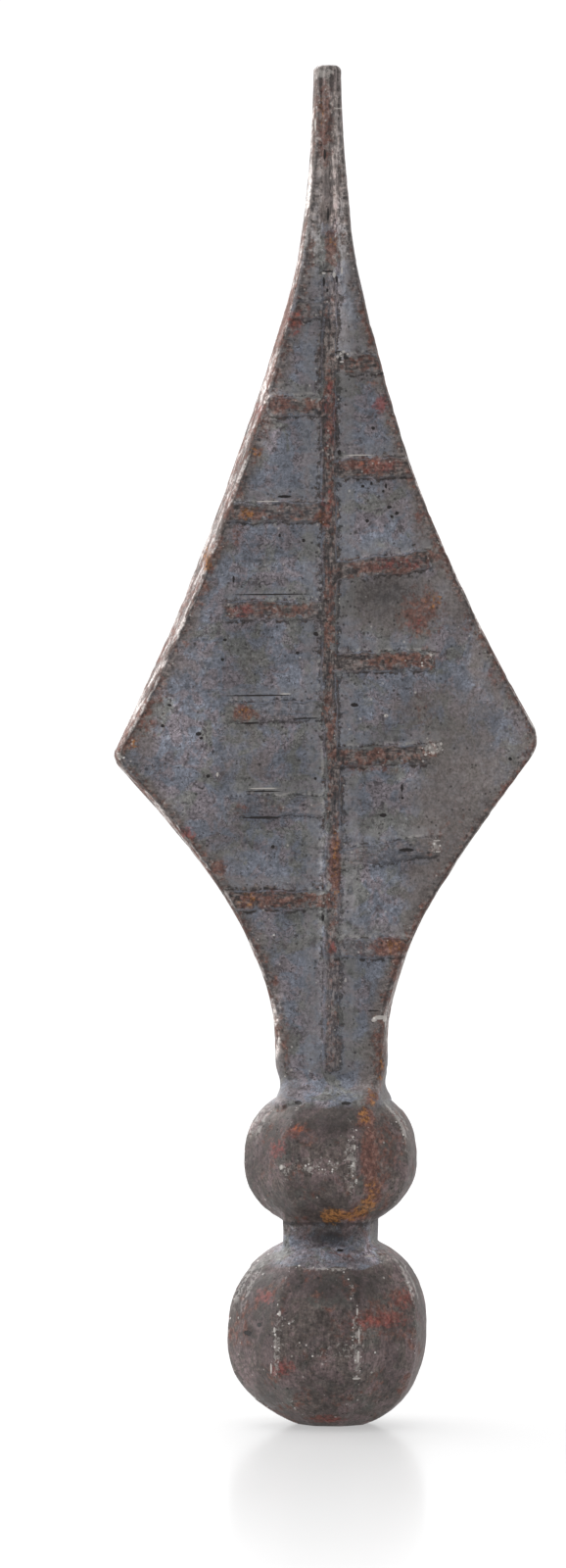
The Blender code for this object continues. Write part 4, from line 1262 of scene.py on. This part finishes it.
def addRust(w, look, color):
    amount = w.most(w.amount("rustAmount"), w.by(look.body, w.stretch(look.cloud, 0.35, 0.65, 0.2, 0.6)))
    notTip = w.less(1.0, w.by(w.amount("tipAmount"), 0.7))
    amount = w.most(amount, w.by(look.rimZone, notTip, w.stretch(look.cloud, 0.4, 0.6, 0.32, 0.6)))
    amount = w.plus(amount, w.by(w.less(look.ribStreak, 0.5), look.body, 1.2))
    bloom = bloomAt(w, look.place, amount, 1200.0, 1.2, 0.26)
    rust = w.blend(bloom["Shade"], skin["rustDeep"], skin["rust"])
    rust = w.blend(w.stretch(look.speckle, 0.54, 0.68, 0.0, 0.85), rust, skin["rustLight"])
    rust = w.mottled(rust, look.speckle, 0.34, 0.5, 0.62, 1.0)
    look.rustMask = w.by(bloom["Mask"], cover["rust"])
    look.height = w.plus(look.height, w.by(bloom["Mask"], 0.2))
    color = w.blend(look.rustMask, color, rust)
    bloom = bloomAt(w, look.place, w.amount("orangeAmount"), 1500.0, 1.9, 0.24)
    orange = w.blend(bloom["Shade"], skin["orangeDeep"], skin["orange"])
    orange = w.mottled(orange, look.speckle, 0.4, 0.56, 0.38, 1.1)
    color = w.blend(w.by(bloom["Mask"], cover["orange"]), color, orange)
    bloom = bloomAt(w, look.place, w.amount("redAmount"), 1500.0, 2.2, 0.45)
    red = w.mottled(skin["red"], look.speckle, 0.38, 0.58, 0.45, 1.25)
    return w.blend(w.by(bloom["Mask"], cover["red"]), color, red)


def marksOf(w, look, kind):
    masks = [w.use(spotGroup, {"Across": look.across, "Up": look.up, "Ragged": look.fine,
                               "Mark Across": markAcross, "Mark Up": markUp,
                               "Half Width": halfWidth, "Half Height": halfHeight})["Mask"]
             for markAcross, markUp, halfWidth, halfHeight in tinyMarks[kind]]
    return w.by(w.most(*masks), look.inFront)


def addDarkMarks(w, look, color):
    # Dark specks gather along the ribs and soot lies in patches; the same dark colour paints shade in the
    # crease at the blade's foot, under the small knop and along the foot of each bar
    gathered = w.stretch(w.most(look.halo, look.rimZone), 0.0, 1.0, 0.12, 0.5)
    gathered = w.most(gathered, w.stretch(look.cloud, 0.44, 0.62, 0.06, 0.42))
    specks = flecksAt(w, look.place, gathered, 1900.0, 0.36)
    pits = flecksAt(w, look.place, 0.08, 900.0, 0.22)
    sootAndShade = bloomAt(w, look.place, w.amount("sootAndShadeAmount"), 1200.0, 0.75, 0.3)["Mask"]
    rimLine = w.stretch(w.math("ABSOLUTE", w.less(look.rim, 0.42)), 0.24, 0.08)
    rimLine = w.by(rimLine, look.onBlade, w.stretch(look.mottle, 0.4, 0.6, 0.6, 0.2))
    tipLine = w.stretch(w.plus(w.amount("fromVein"), w.by(look.upStreak, 0.9)), 0.8, 0.5)
    tipLine = w.by(tipLine, w.amount("tipAmount"), w.stretch(look.mottle, 0.4, 0.6, 0.2, 0.65))
    dark = w.most(w.by(pits, cover["pits"]), w.by(specks, cover["specks"]), w.by(sootAndShade, cover["sootAndShade"]),
                  w.by(look.darkLine, cover["darkLine"]), rimLine, tipLine)
    look.covered = w.most(look.rustMask, dark)
    look.height = w.less(look.height, w.by(w.most(pits, specks), 0.5))
    return w.blend(w.most(dark, marksOf(w, look, "dark")), color, skin["sootAndShade"])


def addPaleMarks(w, look, color):
    paleAmount = w.amount("paleAmount")
    gathered = w.stretch(w.most(look.halo, look.rimZone, paleAmount), 0.0, 1.0, 0.06, 0.3)
    flecks = flecksAt(w, look.place, gathered, 1500.0, 0.26)
    worn = bloomAt(w, look.place, paleAmount, 2200.0, 1.3, 0.16)["Mask"]
    # Pale flecks and worn patches of bare iron, with painted highlights: the line above each bar and some of
    # the light marks
    pale = w.most(w.by(flecks, cover["flecks"]), w.by(worn, cover["wornPatch"]),
                  w.by(look.paleLine, cover["paleLine"]),
                  w.by(marksOf(w, look, "light"), cover["lightMarks"]))
    color = w.blend(pale, color, skin["bareIronAndHighlight"])
    # Worn facet lines are rows of bright and black grains, and thin painted highlights run round the
    # shoulders
    bright = flecksAt(w, look.place, w.by(paleAmount, 0.55), 2700.0, 0.46)
    black = flecksAt(w, look.place, w.by(paleAmount, 0.6), 3100.0, 0.46)
    color = w.blend(w.by(black, cover["blackGrains"]), color, skin["sootAndShade"])
    gleam = w.by(w.amount("paintedGlintAmount"), w.stretch(look.speckle, 0.42, 0.56), cover["gleam"])
    return w.blend(w.most(w.by(bright, cover["brightGrains"]), gleam), color, skin["gleam"])


def makeIronSkin():
    material, w, shader = startMaterial("scaledIron")
    look = skinNoises(w)
    color = addGround(w, look)
    for layer in (addRibs, addSideSheenAndTone, addRust, addDarkMarks, addPaleMarks):
        color = layer(w, look, color)
    w.link(color, shader["Base Color"])
    shader["Specular IOR Level"].default_value = cover["gloss"]
    w.link(w.by(w.less(1.0, look.covered), w.amount("scaleAmount"), cover["metal"]), shader["Metallic"])
    rough = w.stretch(look.mottle, 0.3, 0.7, cover["roughLow"], cover["roughHigh"])
    w.link(w.plus(rough, w.by(look.covered, cover["coveredRough"])), shader["Roughness"])
    bump = w.node("ShaderNodeBump", {"Height": look.height, "Strength": cover["bump"],
                                     "Distance": cover["bumpDepth"] * mm})
    w.link(bump.outputs["Normal"], shader["Normal"])
    return material


underside = {
    "bare": (0.2, 0.19, 0.18), "dull": (0.1, 0.09, 0.085),
    "fileScale": 2600.0, "fileLength": 90.0, "fileTurn": 24.0, "rust": 0.85,
}


def makeCutIron():
    # The sawn underside: file scratches one way, thin rust over them
    material, w, shader = startMaterial("cutIron")
    place = w.node("ShaderNodeTexCoord").outputs["Object"]
    grain = w.use(grainGroup, {"Place": place})
    filed = w.node("ShaderNodeMapping", {
        "Vector": place, "Scale": (underside["fileScale"], underside["fileLength"], underside["fileLength"]),
        "Rotation": (0.0, 0.0, math.radians(underside["fileTurn"]))}).outputs["Vector"]
    scratches = w.node("ShaderNodeTexNoise", {"Vector": filed, "Scale": 1.0, "Detail": 3.0,
                                              "Roughness": 0.6}).outputs["Fac"]
    color = w.blend(w.stretch(scratches, 0.3, 0.7), underside["dull"], underside["bare"])
    bloom = bloomAt(w, place, w.stretch(grain["Cloud"], 0.35, 0.65, 0.15, 0.65), 800.0)
    rust = w.blend(bloom["Shade"], skin["rustDeep"], skin["rust"])
    w.link(w.blend(w.by(bloom["Mask"], underside["rust"]), color, rust), shader["Base Color"])
    w.link(w.stretch(bloom["Mask"], 0.0, 1.0, 0.7, 0.0), shader["Metallic"])
    w.link(w.stretch(scratches, 0.2, 0.8, 0.4, 0.7), shader["Roughness"])
    bump = w.node("ShaderNodeBump", {"Height": w.plus(scratches, grain["Height"]), "Strength": 0.5,
                                     "Distance": 0.06 * mm})
    w.link(bump.outputs["Normal"], shader["Normal"])
    return material


def dressFinial(finial):
    finial.data.materials.clear()
    finial.data.materials.append(makeIronSkin())
    finial.data.materials.append(makeCutIron())
    for face in finial.data.polygons:
        face.material_index = int(face.center.z < 0.05 * mm and face.normal.z < -0.9)
    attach(finial, "root")
    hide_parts("spear_finial")
    print("finial dressed")


dressFinial(finialPiece)

# White table, soft white light and the camera

studio = {
    "tableSize": 6.0, "tableWhite": 0.62, "tableRoughness": 0.16, "tableGloss": 0.52, "tableGlossFar": 0.15,
    "glossNear": 0.03, "glossFar": 0.2,      # metres from the piece between which the gloss fades
    "tableFadeStart": 0.36, "tableFadeEnd": 0.62, "tableFadeWhite": 1.06, "tableGlow": 0.4,
    "viewAzimuth": -14.0, "viewElevation": 3.0, "viewDistance": 1.6,
    "frameHeight": 184.5, "frameMiddleUp": 75.5, "frameMiddleLeft": 5.2,
    "seenWhite": 1.08, "roomSides": 0.56, "roomTop": 0.8, "roomBack": 0.34,
}


def makeTable():
    mesh = bpy.data.meshes.new("whiteTable")
    form = bmesh.new()
    bmesh.ops.create_grid(form, x_segments=4, y_segments=4, size=studio["tableSize"] / 2.0)
    form.to_mesh(mesh)
    form.free()
    table = bpy.data.objects.new("whiteTable", mesh)
    bpy.context.scene.collection.objects.link(table)
    table.location.z = -0.02 * mm
    material = bpy.data.materials.new("whiteGloss")
    material.use_nodes = True
    w = Wiring(material.node_tree)
    w.tree.nodes.remove(w.tree.nodes["Principled BSDF"])
    matt = w.node("ShaderNodeBsdfDiffuse", {"Color": (studio["tableWhite"],) * 3})
    gloss = w.node("ShaderNodeBsdfGlossy", {"Roughness": studio["tableRoughness"]})
    place = w.node("ShaderNodeTexCoord").outputs["Object"]
    far = w.node("ShaderNodeVectorMath", {0: place}, operation="LENGTH").outputs["Value"]
    gleam = w.stretch(far, studio["glossNear"], studio["glossFar"],
                      studio["tableGloss"], studio["tableGlossFar"])
    # Far from the piece the table runs into the white of the tent, so no horizon shows
    fade = w.stretch(far, studio["tableFadeStart"], studio["tableFadeEnd"], studio["tableGlow"], 1.0)
    white = w.node("ShaderNodeEmission", {"Strength": studio["tableFadeWhite"]})
    both = w.node("ShaderNodeMixShader", {"Fac": gleam, 1: matt.outputs[0], 2: gloss.outputs[0]})
    faded = w.node("ShaderNodeMixShader", {"Fac": fade, 1: both.outputs[0], 2: white.outputs[0]})
    w.link(faded.outputs[0], w.tree.nodes["Material Output"].inputs["Surface"])
    mesh.materials.append(material)


def makeWorld():
    # A white tent, brightest overhead and a little brighter behind the piece than in front of it
    world = bpy.data.worlds.new("whiteTent")
    bpy.context.scene.world = world
    world.use_nodes = True
    w = Wiring(world.node_tree)
    towards = w.node("ShaderNodeTexCoord").outputs["Generated"]
    direction = w.node("ShaderNodeSeparateXYZ", {"Vector": towards}).outputs
    light = w.plus(w.by(w.most(direction["Z"], 0.0), studio["roomTop"]), studio["roomSides"])
    light = w.plus(light, w.by(direction["Y"], studio["roomBack"]))
    seen = w.node("ShaderNodeLightPath").outputs["Is Camera Ray"]
    strength = w.node("ShaderNodeMix", {0: seen, 2: light, 3: studio["seenWhite"]}, data_type="FLOAT")
    background = w.tree.nodes["Background"].inputs
    background["Color"].default_value = (1.0, 0.995, 1.0, 1.0)
    w.link(strength.outputs[0], background["Strength"])


lamps = [   # name, place in metres, width, height, watts
    ("overhead", (-0.2, 0.1, 1.3), 1.2, 1.2, 9.0),
    ("upperBack", (-0.1, 0.95, 0.62), 1.4, 0.4, 12.0),
    ("leftBack", (-0.8, 0.35, 0.3), 0.4, 0.8, 3.5),
]


def makeLamps():
    target = Vector((0.0, 0.0, studio["frameMiddleUp"] * mm))
    for name, place, width, height, watts in lamps:
        light = bpy.data.lights.new(name, "AREA")
        light.shape = "RECTANGLE"
        light.size, light.size_y = width, height
        light.energy = watts
        lamp = bpy.data.objects.new(name, light)
        bpy.context.scene.collection.objects.link(lamp)
        lamp.location = place
        lamp.rotation_euler = (target - Vector(place)).to_track_quat("-Z", "Y").to_euler()


def makeCamera():
    azimuth, elevation = math.radians(studio["viewAzimuth"]), math.radians(studio["viewElevation"])
    toRight = Vector((math.cos(azimuth), math.sin(azimuth), 0.0))
    back = Vector((math.sin(azimuth) * math.cos(elevation), -math.cos(azimuth) * math.cos(elevation),
                   math.sin(elevation)))
    target = Vector((0.0, 0.0, studio["frameMiddleUp"] * mm)) - toRight * studio["frameMiddleLeft"] * mm
    data = bpy.data.cameras.new("frontView")
    data.sensor_fit = "AUTO"
    data.sensor_width = 36.0
    data.lens = data.sensor_width * studio["viewDistance"] / (studio["frameHeight"] * mm)
    data.dof.use_dof = False
    data.clip_start, data.clip_end = 0.05, 20.0
    camera = bpy.data.objects.new("frontView", data)
    bpy.context.scene.collection.objects.link(camera)
    camera.location = target + back * studio["viewDistance"]
    camera.rotation_euler = (-back).to_track_quat("-Z", "Y").to_euler()
    bpy.context.scene.camera = camera


makeTable()
makeWorld()
makeLamps()
makeCamera()
bpy.context.scene.view_settings.view_transform = "Standard"
bpy.context.scene.view_settings.look = "None"
print("studio ready")
